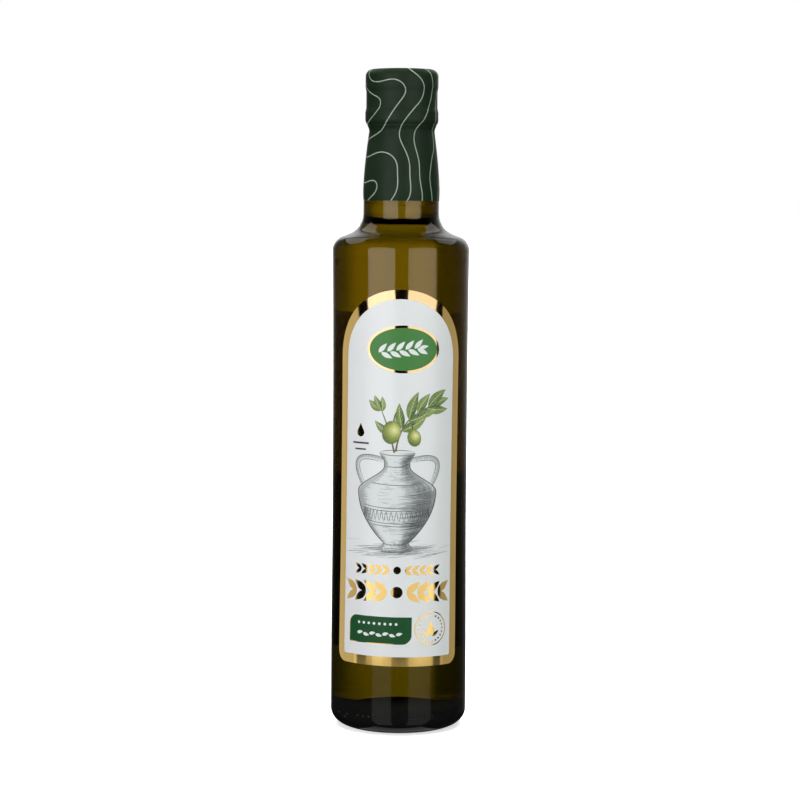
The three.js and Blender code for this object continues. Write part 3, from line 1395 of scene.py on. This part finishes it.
@dataclass
class Assembly:
    """What every sub-assembly shares: its form and how its pieces are handed over."""

    form: GlassForm

    def hand_over(
        self, piece: bpy.types.Object, finish: bpy.types.Material, slot: Slot, node: str | None = None
    ) -> bpy.types.Object:
        """Gives a piece its finish and its place in the part.

        Args:
            piece: The finished mesh.
            finish: Its material.
            slot: The record's slot that it belongs to; not used.
            node: The CAD node that it stands for, if any.

        Returns:
            The same piece.
        """
        piece.data.materials.clear()
        piece.data.materials.append(finish)
        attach(piece, "root")
        if node:
            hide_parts(node)
        LOG.info("%s: %d faces, %s", piece.name, len(piece.data.polygons), finish.name)
        return piece

    def lay_flat(self, piece: bpy.types.Object, wrap: GlassWrap, low: float, high: float) -> None:
        """Cuts a flat piece, thickens it and bends it round the glass.

        Args:
            piece: The flat piece.
            wrap: The way that it lies on the glass.
            low: The height of its underside above the glass in millimetres.
            high: The height of its top.
        """
        slice_grid(piece)
        thicken(piece, low, high)
        wrap.lay(piece)


@dataclass
class GlassBottle(Assembly):
    """The blown glass: body, shoulder, neck, thick base with its hollow, and the mould's marks."""

    capsule: CapsuleForm = CapsuleForm()
    film_depth: float = 0.09
    steps: int = 176
    dot_places: tuple[Point, ...] = (
        (-59.5, 8.1), (-51.3, 6.7), (-48.0, 8.1), (-36.0, 8.4), (-30.6, 8.4), (-25.4, 8.5), (-19.9, 9.0),
    )
    dot_radius: float = 0.6
    dot_flatness: float = 0.8
    underside_slope: float = -0.8
    bed_slope: float = 0.7
    ring_place: Point = (26.6, 9.3)
    ring_radius: float = 2.1
    ring_thickness: float = 0.13
    punt_shares: tuple[float, ...] = (0.25, 0.5, 0.7, 0.85, 0.95)
    punt_power: float = 2.2
    neck_steps: int = 16

    def build(self) -> None:
        """Models and dresses the glass."""
        form = self.form
        base_z = form.punt_depth + form.base_thickness
        reach = form.inner_heel_round
        inner_side = form.body_radius(base_z + reach) - form.wall - form.thicker(base_z + reach)
        quarter = math.pi / 2
        profile = [(0, form.punt_depth)]
        profile += [
            (form.punt_radius * share, form.punt_depth * (1 - share**self.punt_power))
            for share in self.punt_shares
        ]
        profile += [(form.punt_radius + 0.2, 0.05), (form.punt_radius + 0.7, 0)]
        profile += arc(
            form.heel_radius - form.heel_round,
            form.heel_round_height,
            form.heel_round,
            form.heel_round_height,
            -quarter,
            0,
        )
        profile += form.side(form.heel_round_height + 2, form.shoulder_z, 0)[:-1]
        profile += form.shoulder(0)
        profile += self._hidden_neck()
        profile += [(form.bore_radius, form.mouth_z), (form.bore_radius, form.bore_z)]
        profile += [(form.neck_radius - form.wall, form.neck_bore_z)]
        profile += form.shoulder(form.wall)[::-1]
        profile += form.side(base_z + reach, form.shoulder_z, form.wall)[::-1][1:]
        profile += arc(inner_side - reach, base_z + reach, reach, reach, 0, -quarter)[1:]
        profile += form.bed(inner_side - reach)
        glass = turned("glass", profile, self.steps)
        finish = DarkGlass().build()
        self.hand_over(glass, finish, Slot.GLASS, "glass_bottle")
        # The heel's opaque near-black finish is painted shade; the mould's dots and ring get it too.
        heel = BaseGlass("heel_glass").build()
        self._dress_foot(glass, heel)
        self._marks(heel)

    def _dress_foot(self, glass: bpy.types.Object, heel: bpy.types.Material) -> None:
        """Gives the foot's faces an opaque near-black finish of their own: painted shade where the thick
        glass would pass some light.

        Args:
            glass: The turned glass.
            heel: The finish of the heel's round.
        """
        # The underside and the bed get the same painted near-black shade.
        stippled = BaseGlass("stippled_glass", stipple_depth=0.08, smoothest=0.35, roughest=0.6).build()
        for finish in (heel, stippled, BaseGlass("bed_glass", shine=0.0).build()):
            glass.data.materials.append(finish)
        in_heel, in_underside, in_bed = 1, 2, 3
        middle_z = self.form.bed(0.0)[-1][1]
        above_bed = (middle_z + 1.0) * MM
        for face in glass.data.polygons:
            if face.center.z < self.form.heel_round_height * MM and face.normal.z < 0:
                face.material_index = in_underside if face.normal.z < self.underside_slope else in_heel
            elif face.center.z < above_bed and face.normal.z > self.bed_slope:
                face.material_index = in_bed

    def _hidden_neck(self) -> list[Point]:
        """Points up the neck behind the film and round the mouth."""
        capsule = self.capsule
        low_z = capsule.foot_z + 0.4
        span = self.form.finish_z - 1.5 - capsule.foot_z
        heights = [low_z + span * i / self.neck_steps for i in range(self.neck_steps + 1)]
        neck = [(self.form.neck_radius, capsule.foot_z - 0.4)]
        neck += [(min(self.form.neck_radius, capsule.radius(z) - self.film_depth), z) for z in heights]
        return neck + [
            (self.form.finish_radius, self.form.finish_z),
            (self.form.finish_radius, self.form.mouth_z),
        ]

    def _on_heel(self, degrees: float, z: float) -> tuple[Vector, Vector]:
        """A place on the heel's round and the way that it faces there.

        Args:
            degrees: Its bearing from the middle of the front, to the right.
            z: Its height in millimetres.

        Returns:
            The place in metres and the outward direction.
        """
        form = self.form
        drop = max(0.0, form.heel_round_height - z) / form.heel_round_height
        radius = form.heel_radius - form.heel_round * (1 - math.sqrt(1 - drop * drop))
        angle = math.radians(degrees)
        place = Vector((radius * math.sin(angle), -radius * math.cos(angle), z)) * MM
        outward = Vector((math.sin(angle), -math.cos(angle), -drop)).normalized()
        return place, outward

    def _marks(self, finish: bpy.types.Material) -> None:
        """Adds the mould's row of raised dots and its small ring on the heel.

        Args:
            finish: The heel's own finish.
        """
        for i, (degrees, z) in enumerate(self.dot_places):
            place, outward = self._on_heel(degrees, z)
            bpy.ops.object.select_all(action="DESELECT")
            bpy.ops.mesh.primitive_uv_sphere_add(segments=20, ring_count=12, radius=self.dot_radius * MM)
            dot = bpy.context.object
            dot.name = f"mould_dot_{i + 1}"
            edit(dot)
            bpy.ops.transform.resize(value=(1, 1, self.dot_flatness))
            close_edit()
            dot.data.transform(outward.to_track_quat("Z", "Y").to_matrix().to_4x4())
            dot.data.transform(Matrix.Translation(place))
            bpy.ops.object.shade_smooth_by_angle(angle=math.radians(50))
            self.hand_over(dot, finish, Slot.GLASS)
        place, outward = self._on_heel(*self.ring_place)
        bpy.ops.object.select_all(action="DESELECT")
        bpy.ops.mesh.primitive_torus_add(
            major_radius=self.ring_radius * MM,
            minor_radius=self.ring_thickness * MM,
            major_segments=56,
            minor_segments=10,
        )
        ring = bpy.context.object
        ring.name = "mould_ring"
        ring.data.transform(outward.to_track_quat("Z", "Y").to_matrix().to_4x4())
        ring.data.transform(Matrix.Translation(place))
        bpy.ops.object.shade_smooth_by_angle(angle=math.radians(50))
        self.hand_over(ring, finish, Slot.GLASS)


@dataclass
class OliveOil(Assembly):
    """The oil, which reaches just into the wall so that no air shows between it and the glass."""

    level_z: float = 252.0
    into_wall: float = 0.05
    steps: int = 144

    def build(self) -> None:
        """Models and dresses the oil."""
        form = self.form
        inset = form.wall - self.into_wall
        bed_z = form.punt_depth + form.base_thickness - self.into_wall
        reach = form.inner_heel_round
        side = form.body_radius(bed_z + reach) - inset - form.thicker(bed_z + reach)
        slope = (form.neck_radius - form.wall - form.bore_radius) / (form.bore_z - form.neck_bore_z)
        surface = form.neck_radius - inset - slope * (self.level_z - form.neck_bore_z)
        profile = [(radius, z - self.into_wall) for radius, z in form.bed(side - reach)[::-1]]
        profile += arc(side - reach, bed_z + reach, reach, reach, -math.pi / 2, 0)
        profile += form.side(bed_z + reach, form.shoulder_z, inset)[1:-1]
        profile += form.shoulder(inset)
        profile += [(form.neck_radius - inset, form.neck_bore_z), (surface, self.level_z)]
        profile += [(surface * 0.8, self.level_z - 0.3), (0, self.level_z - 0.4)]
        oil = turned("oil", profile, self.steps)
        self.hand_over(oil, ClearOil().build(), Slot.OIL, "olive_oil")


@dataclass
class NeckCapsule(Assembly):
    """The film shrunk over the screw cap and the neck, with ripples, the cap's knurls and a seam behind."""

    capsule: CapsuleForm = CapsuleForm()
    film_depth: float = 0.07
    ripple_depth: float = 0.05
    steps: int = 192
    levels: int = 236
    inner_levels: int = 16
    top_shares: tuple[float, ...] = (0.97, 0.94, 0.92, 0.9, 0.88, 0.86, 0.8, 0.6, 0.4, 0.2)
    groove_share: float = 0.9
    groove_depth: float = 0.12

    def build(self) -> None:
        """Models and dresses the capsule."""
        capsule = self.capsule
        top_edge = capsule.top_z - capsule.corner
        flat = capsule.bead_radius - capsule.corner
        levels = self.levels
        heights = [capsule.foot_z + (top_edge - capsule.foot_z) * i / levels for i in range(levels)]
        inner_foot = (capsule.foot_radius - self.film_depth + 0.02, capsule.foot_z - 0.02)
        profile = [inner_foot]
        profile += [(capsule.radius(z), z) for z in heights]
        profile += arc(flat, top_edge, capsule.corner, capsule.corner, 0, math.pi / 2)
        profile += [(flat * share, self._top(share)) for share in self.top_shares]
        profile += [(0, capsule.top_z + capsule.crown), (0, self.form.mouth_z + 0.1)]
        profile += [(self.form.finish_radius + 0.05, self.form.mouth_z + 0.1)]
        profile += [(self.form.finish_radius + 0.05, self.form.finish_z)]
        inner_top = self.form.finish_z - 1.1
        drop = (inner_top - capsule.foot_z) / self.inner_levels
        inner = [inner_top - drop * i for i in range(self.inner_levels)]
        profile += [(capsule.radius(z) - self.film_depth + 0.005, z) for z in inner]
        profile += [inner_foot]
        film = turned("capsule", profile, self.steps)
        self._shrink(film)
        self.hand_over(film, PrintedFilm().build(), Slot.FILM, "neck_capsule")

    def _top(self, share: float) -> float:
        """The height of the top at a share of its flat radius, with a shallow groove near the edge."""
        groove = self.groove_depth * math.exp(-(((share - self.groove_share) / 0.035) ** 2))
        return self.capsule.top_z + self.capsule.crown * (1 - share * share) - groove

    def _shrink(self, film: bpy.types.Object) -> None:
        """Gives the film the small unevenness of a hand-held heat gun."""
        capsule = self.capsule
        for vertex in film.data.vertices:
            z = vertex.co.z / MM
            radius = math.hypot(vertex.co.x, vertex.co.y) / MM
            if radius < capsule.radius(min(z, capsule.top_z - capsule.corner)) - 0.03 or z > 296.5:
                continue
            angle = math.atan2(vertex.co.x, -vertex.co.y)
            waist = math.exp(-(((z - 272.0) / 3.6) ** 2))
            neck = smoothstep(z, 241.0, 246.0) * (1 - smoothstep(z, 266.0, 270.0))
            lobes = math.sin(5 * angle + 0.7) + 0.6 * math.sin(9 * angle + 0.11 * z + 2.0)
            pleats = math.sin(23 * angle + 1.3) + 0.5 * math.sin(37 * angle + 0.4)
            knurl = math.cos(72 * angle) * smoothstep(z, 289.5, 291.0) * (1 - smoothstep(z, 293.5, 294.5))
            seam = math.exp(-(((abs(angle) - math.pi) * radius / 0.5) ** 2))
            shift = self.ripple_depth * (waist * (1.6 * lobes + 0.7 * pleats) + neck * 0.5 * lobes)
            shift += 0.02 * knurl + 0.03 * seam
            vertex.co.x *= 1 + shift / radius
            vertex.co.y *= 1 + shift / radius


@dataclass
class FrontLabel(Assembly):
    """The arched front label: white paper with a foil rim, a drawn picture and foil ornaments."""

    half_width: float = 30.6
    foot_z: float = 32.0
    arch_z: float = 169.8
    corner: float = 5.0
    rim: float = 4.2
    paper_top: float = 0.14
    print_foot: float = 0.1
    foil_top: float = 0.16
    fine_top: float = 0.165
    ink_top: float = 0.175
    white_top: float = 0.19
    wrap: GlassWrap = field(init=False)

    def __post_init__(self) -> None:
        """Sets the way that the label lies on the glass."""
        self.wrap = GlassWrap(self.form, lean=0.0113, upright_z=146.0)

    def build(self) -> None:
        """Models and dresses the label and everything printed on it."""
        paper = LabelPaper().build()
        foil = StampedFoil().build()
        sheet = self._sheet("front_paper", self._outline(), 0.02, self.paper_top)
        self.hand_over(sheet, paper, Slot.FRONT, "front_label")
        rim = flat_shape("foil_rim", self._outline())
        keep_rim(rim, self.rim)
        self.lay_flat(rim, self.wrap, self.print_foot, self.foil_top)
        self.hand_over(rim, foil, Slot.FRONT)
        white = FlatInk("white_ink", "#eceff0").build()
        self._plaque(foil, white)
        self._garlands(foil)
        self._badge(foil, white)
        self._emblem(foil)
        drawing = Drawing("front_picture")
        PencilAmphora().draw(drawing)
        OliveSprig((-2.2, 128.0), (-5.0, 140.0), (-8.4, 147.0), 9.5, 3.4, 2, 4).draw(drawing)
        OliveSprig().draw(drawing)
        for olive in (Olive((-3.6, 137.0), 1.4, 10.4, 8.0), Olive((6.6, 134.6), 1.8, 7.6, 5.8)):
            olive.draw(drawing)
        picture = drawing.build()
        self.wrap.lay(picture)
        self.hand_over(picture, DrawnInk().build(), Slot.FRONT)

    def _outline(self) -> list[Point]:
        """The label's edge: an arch above, straight sides and small round corners below."""
        steps = 60
        reach = self.half_width
        angles = [math.pi * i / steps for i in range(steps + 1)]
        arch = [(reach * math.cos(a), self.arch_z + reach * math.sin(a)) for a in angles]
        foot = rounded_box(
            (-self.half_width, self.foot_z), (self.half_width, self.arch_z), (self.corner, 0, 0, self.corner)
        )
        lower_right, lower_left = foot[:9], foot[-9:]
        return lower_right + arch + lower_left

    def _sheet(self, name: str, outline: list[Point], low: float, high: float) -> bpy.types.Object:
        """Makes a flat shape and lays it on the glass.

        Args:
            name: The new piece's name.
            outline: Its edge in millimetres.
            low: The height of its underside above the glass.
            high: The height of its top.

        Returns:
            The piece.
        """
        piece = flat_shape(name, outline)
        self.lay_flat(piece, self.wrap, low, high)
        return piece

    def _many(self, name: str, outlines: list[list[Point]], high: float) -> bpy.types.Object:
        """Joins several flat shapes into one piece and lays it on the paper.

        Args:
            name: The new piece's name.
            outlines: Each shape's edge.
            high: The height of the top.

        Returns:
            The piece.
        """
        shapes = [flat_shape(name, outline) for outline in outlines]
        bpy.ops.object.select_all(action="DESELECT")
        for shape in shapes:
            shape.select_set(True)
        bpy.context.view_layer.objects.active = shapes[0]
        if len(shapes) > 1:
            bpy.ops.object.join()
        self.lay_flat(shapes[0], self.wrap, self.print_foot, high)
        return shapes[0]

    def _plaque(self, foil: bpy.types.Material, white: bpy.types.Material) -> None:
        """Adds the green oval near the top, with its foil rim and a white twig."""
        centre = (1.2, 174.0)
        halo = self._sheet("plaque_foil", circle(centre, 16.6, 10.6), self.print_foot, self.foil_top)
        self.hand_over(halo, foil, Slot.FRONT)
        oval = self._sheet("plaque_green", circle(centre, 15.4, 9.5), self.print_foot, self.ink_top)
        self.hand_over(oval, FlatInk("plaque_ink", "#3c8034").build(), Slot.FRONT)
        leaves = []
        for i in range(5):
            s = centre[0] - 11.2 + 4.0 * i
            lift = -1.6 + 0.5 * i
            leaves.append(leaf_outline((s, centre[1] + lift), math.radians(48), 5.6, 2.1))
            leaves.append(leaf_outline((s + 1.2, centre[1] + lift), math.radians(-26), 5.6, 2.1))
        leaves.append(leaf_outline((centre[0] + 7.0, centre[1] + 0.7), math.radians(12), 4.4, 1.7))
        self.hand_over(self._many("plaque_twig", leaves, self.white_top), white, Slot.FRONT)

    def _garlands(self, foil: bpy.types.Material) -> None:
        """Adds two foil garlands below the picture, and a foil drop over two fine bars beside it."""
        fine = self._garland(75.3, 5, 3.4, 3.3, 34, (4.2, 1.6)) + [circle((0, 75.3), 1.7, 1.7, 28)]
        bold = self._garland(65.4, 4, 4.4, 4.9, 38, (7.6, 3.2)) + [circle((0, 65.4), 2.6, 2.6, 36)]
        self.hand_over(self._many("garland_fine", fine, self.fine_top), foil, Slot.FRONT)
        self.hand_over(self._many("garland_bold", bold, self.fine_top), foil, Slot.FRONT)
        drop = circle((-18.3, 136.4), 1.9, 1.9, 30)
        tip = [(-20.0, 137.2), (-16.6, 137.2), (-18.3, 140.6)]
        self.hand_over(self._many("drop_foil", [drop, tip], self.fine_top), foil, Slot.FRONT)
        bars = [
            rounded_box((-22.6, 131.3), (-14.0, 132.1), (0.4, 0.4, 0.4, 0.4)),
            rounded_box((-21.2, 128.6), (-15.4, 129.3), (0.35, 0.35, 0.35, 0.35)),
        ]
        dark = FlatInk("dark_ink", "#3c3e40")
        self.hand_over(self._many("fine_bars", bars, self.fine_top), dark.build(), Slot.FRONT)

    @staticmethod
    def _garland(
        z: float, pairs: int, first: float, pitch: float, opening: float, leaf: Point
    ) -> list[list[Point]]:
        """Pairs of leaves that point outward on both sides of a middle.

        Args:
            z: The height of their roots in millimetres.
            pairs: How many pairs each side has.
            first: How far the first pair is from the middle.
            pitch: The distance from pair to pair.
            opening: The angle of each leaf off the level, in degrees.
            leaf: A leaf's length and width.

        Returns:
            Each leaf's outline.
        """
        leaves = []
        for side in (-1, 1):
            outward = 0 if side > 0 else 180
            for i in range(pairs):
                root = (side * (first + pitch * i), z)
                for turn in (side, -side):
                    leaves.append(leaf_outline(root, math.radians(outward + turn * opening), *leaf))
        return leaves

    def _badge(self, foil: bpy.types.Material, white: bpy.types.Material) -> None:
        """Adds the deep green box with two round corners and white ornaments."""
        low, high, corners = (-22.6, 42.2), (6.9, 54.2), (4, 0, 4, 0)
        edge = rounded_box((low[0] - 0.25, low[1] - 0.3), high, corners)
        gold = self._sheet("badge_foil", edge, self.print_foot, self.foil_top)
        self.hand_over(gold, foil, Slot.FRONT)
        box = self._sheet("badge_green", rounded_box(low, high, corners), self.print_foot, self.ink_top)
        self.hand_over(box, FlatInk("badge_ink", "#064c20", 0.25).build(), Slot.FRONT)
        marks = [circle((-17.5 + 2.5 * i, 51.0), 0.62, 0.62, 20) for i in range(8)]
        for i in range(7):
            tilt = math.radians(14 * (-1) ** i)
            marks.append(leaf_outline((-18.4 + 3.05 * i, 46.2), tilt, 3.1, 1.5))
        self.hand_over(self._many("badge_marks", marks, self.white_top), white, Slot.FRONT)

    def _emblem(self, foil: bpy.types.Material) -> None:
        """Adds the round foil emblem: a fine ring, a circle of dots and a drop between two leaves."""
        s, z = 15.9, 48.9
        ring = flat_shape("emblem_ring", circle((s, z), 7.75, 7.75, 80))
        keep_rim(ring, 0.42)
        self.lay_flat(ring, self.wrap, self.print_foot, self.fine_top)
        self.hand_over(ring, foil, Slot.FRONT)
        marks = [circle(place, 0.42, 0.42, 16) for place in circle((s, z), 5.9, 5.9, 22)]
        marks.append(circle((s, z - 0.9), 1.75, 1.75, 28))
        marks.append([(s - 1.55, z - 0.1), (s + 1.55, z - 0.1), (s, z + 3.4)])
        for side in (-1, 1):
            facing = math.radians(90 - side * 52)
            marks.append(leaf_outline((s + side * 0.6, z - 3.6), facing, 4.4, 1.5))
        self.hand_over(self._many("emblem_marks", marks, self.fine_top), foil, Slot.FRONT)


@dataclass
class BackLabel(Assembly):
    """The square back label: white paper with a green head, grey rules and a small table."""

    half_width: float = 30.6
    foot_z: float = 32.0
    top_z: float = 188.6
    corner: float = 5.0

    def build(self) -> None:
        """Models and dresses the label."""
        wrap = GlassWrap(self.form, facing=math.pi)
        edge = (self.corner,) * 4
        low, high = (-self.half_width, self.foot_z), (self.half_width, self.top_z)
        sheet = flat_shape("back_sheet", rounded_box(low, high, edge))
        self.lay_flat(sheet, wrap, 0.02, 0.14)
        paper = LabelPaper("back_label_paper").build()
        self.hand_over(sheet, paper, Slot.BACK, "back_label")
        head = flat_shape("back_head", rounded_box((-26.4, 160), (26.4, 184.4), (1.5,) * 4))
        self.lay_flat(head, wrap, 0.1, 0.165)
        self.hand_over(head, FlatInk("back_green", "#2c5a34").build(), Slot.BACK)
        self._rules(wrap)

    def _rules(self, wrap: GlassWrap) -> None:
        """Adds grey rules where small print would be, a table of lines and a row of leaves in the head."""
        drawing = Drawing("back_rules")
        grey = linear("#55595c")
        chance = random.Random(3)
        edge, row = 25.5, 5.6

        def rule(start: Point, end: Point, half_width: float, steps: int) -> None:
            path = straight(start, end)
            drawing.patch(path, lambda t: half_width, lambda side, t: grey, 0.15, steps)

        z = 153.0
        while z > 104.0:
            reach = edge if chance.random() < 0.75 else chance.uniform(8, 20)
            rule((-edge, z), (reach, z), 0.42, 60)
            z -= 2.9 if chance.random() < 0.85 else 5.4
        for i in range(9):
            z = 96.0 - row * i
            rule((-edge, z), (edge, z), 0.11, 60)
        for s in (-edge, 4.0, 14.8, edge):
            rule((s, 51.2), (s, 96.0), 0.11, 30)
        for i in range(8):
            z = 93.2 - row * i
            for start, end in ((-24.0, chance.uniform(-12, -2)), (6.0, 12.0), (17.0, 23.5)):
                rule((start, z), (end, z), 0.4, 24)
        white = linear("#e6e9ea")
        for i in range(9):
            root = (-22.2 + 5.0 * i, 172.2)
            for turn in (-1, 1):
                path = straight(root, (root[0] + 4.4, root[1] + turn * 3.6))
                drawing.patch(path, lambda t: 0.95 * lens(t), lambda side, t: white, 0.18, 8, 2)
        rules = drawing.build()
        wrap.lay(rules)
        self.hand_over(rules, DrawnInk().build(), Slot.BACK)


# Studio


@dataclass(frozen=True)
class Softbox:
    """A lit panel that faces the bottle; the camera itself doesn't see it."""

    name: str
    bearing: float
    half_spread: float
    low_z: float
    high_z: float
    glow: float
    distance: float = 1.0
    tilt: float = 0.0
    mirrored: bool = True
    tint: str = "#ffffff"

    def build(self) -> bpy.types.Object:
        """Adds the light."""
        width = 2 * self.distance * math.tan(math.radians(self.half_spread))
        height = self.high_z - self.low_z
        angle = math.radians(self.bearing)
        middle_z = (self.low_z + self.high_z) / 2
        place = Vector((self.distance * math.sin(angle), -self.distance * math.cos(angle), middle_z))
        bpy.ops.object.light_add(type="AREA", location=place)
        lamp = bpy.context.object
        lamp.name = self.name
        lamp.rotation_euler = (math.pi / 2 - math.radians(self.tilt), 0, angle)
        lamp.data.shape = "RECTANGLE"
        lamp.data.size = width
        lamp.data.size_y = height
        lamp.data.energy = self.glow * width * height * math.pi
        lamp.data.color = linear(self.tint)[:3]
        lamp.visible_camera = False
        lamp.visible_glossy = self.mirrored
        lamp.visible_transmission = self.mirrored
        return lamp


@dataclass
class Studio:
    """Pale floor, graded surround, tall softboxes in front, cards for the foil and light from above."""

    sun_strength: float = 4.2
    card_size: float = 0.07
    card_depth: float = 0.05
    card_glow: float = 0.4
    boxes: tuple[Softbox, ...] = (
        Softbox("softbox_left", -32.75, 23.35, -0.03, 0.72, 1.78),
        Softbox("softbox_right", 37.2, 24.8, -0.03, 0.72, 1.42),
        Softbox("low_left", -32.75, 23.35, -0.14, -0.03, 1.25),
        Softbox("low_right", 37.2, 24.8, -0.14, -0.03, 1.08),
        Softbox("lowest_left", -28.4, 16.6, -1.4, -0.14, 0.3),
        Softbox("lowest_right", 36.5, 19.5, -1.4, -0.14, 0.26),
        Softbox("fill", -30.0, 20.0, 0.0, 0.7, 1.2, mirrored=False),
        Softbox("side_fill_left", -76.0, 16.0, 0.0, 0.7, 1.3, mirrored=False),
        Softbox("side_fill_right", 76.0, 16.0, 0.0, 0.7, 0.5, mirrored=False),
        Softbox("high_left", -128.0, 27.0, 0.78, 1.28, 1.0, 0.85, 43.0),
        Softbox("high_right", 128.0, 27.0, 0.78, 1.28, 1.0, 0.85, 43.0),
    )
    foil_boxes: tuple[Softbox, ...] = (
        Softbox("foil_left", -97.0, 23.0, -0.5, 0.8, 0.66, 0.8),
        Softbox("foil_right", 97.0, 23.0, -0.5, 0.8, 0.45, 0.8),
        Softbox("foil_low", 2.0, 58.0, -0.5, -0.14, 0.42),
        Softbox("foil_bloom_left", -32.75, 23.0, 0.0, 0.72, 1.5, 0.96, tint="#0040ff"),
        Softbox("foil_bloom_right", 37.2, 24.4, 0.0, 0.72, 1.0, 0.96, tint="#0050ff"),
        Softbox("foil_gap_left", -68.0, 12.0, -0.5, -0.14, 0.3),
        Softbox("foil_gap_right", 68.0, 12.0, -0.5, -0.14, 0.16),
    )

    bearing_stops: tuple[Point, ...] = (
        (-100, 0.0), (-70, 0.03), (-40, 0.06), (-26, 0.2), (-18, 1.0),
        (22, 1.0), (31, 0.6), (42, 0.3), (60, 0.1), (80, 0.03), (100, 0.0),
    )
    height_stops: tuple[Point, ...] = (
        (-0.3, 0.02), (-0.12, 0.15), (-0.03, 0.64), (0.02, 0.64), (0.1, 1.0), (0.42, 1.0), (0.62, 0.12),
    )

    def build(self) -> None:
        """Builds the set round the bottle."""
        self._floor()
        self._world()
        for box in self.boxes:
            box.build()
        self._foil_cards()
        self._under_card()
        self._overhead()
        scene = bpy.context.scene
        scene.view_settings.view_transform = "Standard"
        scene.view_settings.look = "None"

    def _foil_cards(self) -> None:
        """Adds the cards round the bottle that only the foil picks up."""
        foil = bpy.data.collections.new("foil_pieces")
        for piece in bpy.context.scene.objects:
            if piece.type == "MESH" and piece.active_material and piece.active_material.name == "gold_foil":
                foil.objects.link(piece)
        for box in self.foil_boxes:
            box.build().light_linking.receiver_collection = foil

    def _under_card(self) -> None:
        """Adds a card under the bottle that the round of its heel mirrors, as it would a white floor."""
        place = (0, 0, -self.card_depth)
        bpy.ops.object.light_add(type="AREA", location=place, rotation=(math.pi, 0, 0))
        lamp = bpy.context.object
        lamp.name = "under_card"
        lamp.data.size = self.card_size
        lamp.data.energy = self.card_glow * self.card_size * self.card_size * math.pi
        lamp.visible_camera = False
        lamp.visible_diffuse = False
        lamp.visible_transmission = False

    def _floor(self) -> None:
        """Adds the floor, which glossy surfaces don't mirror."""
        bpy.ops.object.select_all(action="DESELECT")
        bpy.ops.mesh.primitive_plane_add(size=40)
        floor = bpy.context.object
        floor.name = "floor"
        floor.data.materials.append(PaleFloor().build())
        floor.visible_glossy = False
        floor.visible_shadow = False

    def _overhead(self) -> None:
        """Adds the soft light from above that whitens the floor."""
        bpy.ops.object.light_add(type="SUN", location=(0, 0, 2))
        sun = bpy.context.object
        sun.name = "overhead"
        sun.data.energy = self.sun_strength
        sun.data.angle = math.radians(60)
        sun.visible_glossy = False
        sun.visible_transmission = False

    def _world(self) -> None:
        """Makes a surround that is white behind, dimmer at the sides and dark in front."""
        world = bpy.data.worlds.new("studio")
        bpy.context.scene.world = world
        world.use_nodes = True
        nodes = Nodes(world.node_tree)
        direction = nodes.add("ShaderNodeTexCoord").outputs["Generated"]
        across, along, up = nodes.add("ShaderNodeSeparateXYZ", {0: direction}).outputs
        bearing = nodes.sum("ARCTAN2", across, along)
        turns = [(degrees / 180, level) for degrees, level in self.bearing_stops]
        round_level = self._graded(nodes, bearing, math.pi, turns)
        height_level = self._graded(nodes, up, 1.0, self.height_stops)
        faded = nodes.vector_sum("MULTIPLY", round_level, height_level)
        seen = nodes.add("ShaderNodeLightPath").outputs["Is Camera Ray"]
        shown = nodes.mix(seen, faded, WHITE)
        background = nodes.add("ShaderNodeBackground", {"Color": shown, "Strength": 1.0})
        nodes.add("ShaderNodeOutputWorld", {"Surface": background.outputs[0]})

    @staticmethod
    def _graded(nodes: Nodes, value: object, reach: float, stops: Sequence[Point]) -> bpy.types.NodeSocket:
        """A grey level that changes with a value, as an output socket.

        Args:
            nodes: The world's nodes.
            value: The socket to read.
            reach: How far the value goes on both sides of nought.
            stops: Each stop's place, as a share of that reach from -1 to 1, and its level.

        Returns:
            The level's socket.
        """
        limits = {"Value": value, "From Min": -reach, "From Max": reach}
        share = nodes.add("ShaderNodeMapRange", limits).outputs[0]
        node = nodes.add("ShaderNodeValToRGB", {0: share})
        ramp = node.color_ramp
        while len(ramp.elements) > 1:
            ramp.elements.remove(ramp.elements[-1])
        (first_place, first_level), *others = [((place + 1) / 2, level) for place, level in stops]
        ramp.elements[0].position = first_place
        ramp.elements[0].color = (first_level, first_level, first_level, 1.0)
        for place, level in others:
            ramp.elements.new(place).color = (level, level, level, 1.0)
        return node.outputs[0]


@dataclass(frozen=True)
class ProductCamera:
    """The camera at the photograph's place: level with the shoulder and looking a little down."""

    distance: float = 1.1098
    height: float = 0.24124
    down: float = math.radians(4.752)
    roll: float = math.radians(0.37)
    lens: float = 110.0

    def build(self) -> None:
        """Adds the camera and makes it the scene's own."""
        bpy.ops.object.camera_add(location=(0, -self.distance, self.height))
        camera = bpy.context.object
        camera.name = "camera"
        camera.matrix_world = (
            Matrix.Translation((0, -self.distance, self.height))
            @ Matrix.Rotation(math.pi / 2 - self.down, 4, "X")
            @ Matrix.Rotation(self.roll, 4, "Z")
        )
        camera.data.lens = self.lens
        camera.data.sensor_width = 36.0
        camera.data.dof.use_dof = False
        bpy.context.scene.camera = camera


def main() -> None:
    """Builds the bottle piece by piece, then the studio and the camera."""
    logging.basicConfig(level=logging.INFO, format="%(name)s %(message)s")
    form = GlassForm()
    for assembly in (GlassBottle(form), OliveOil(form), NeckCapsule(form), FrontLabel(form), BackLabel(form)):
        LOG.info("building %s", type(assembly).__name__)
        assembly.build()
    Studio().build()
    ProductCamera().build()


if __name__ == "__main__":
    main()
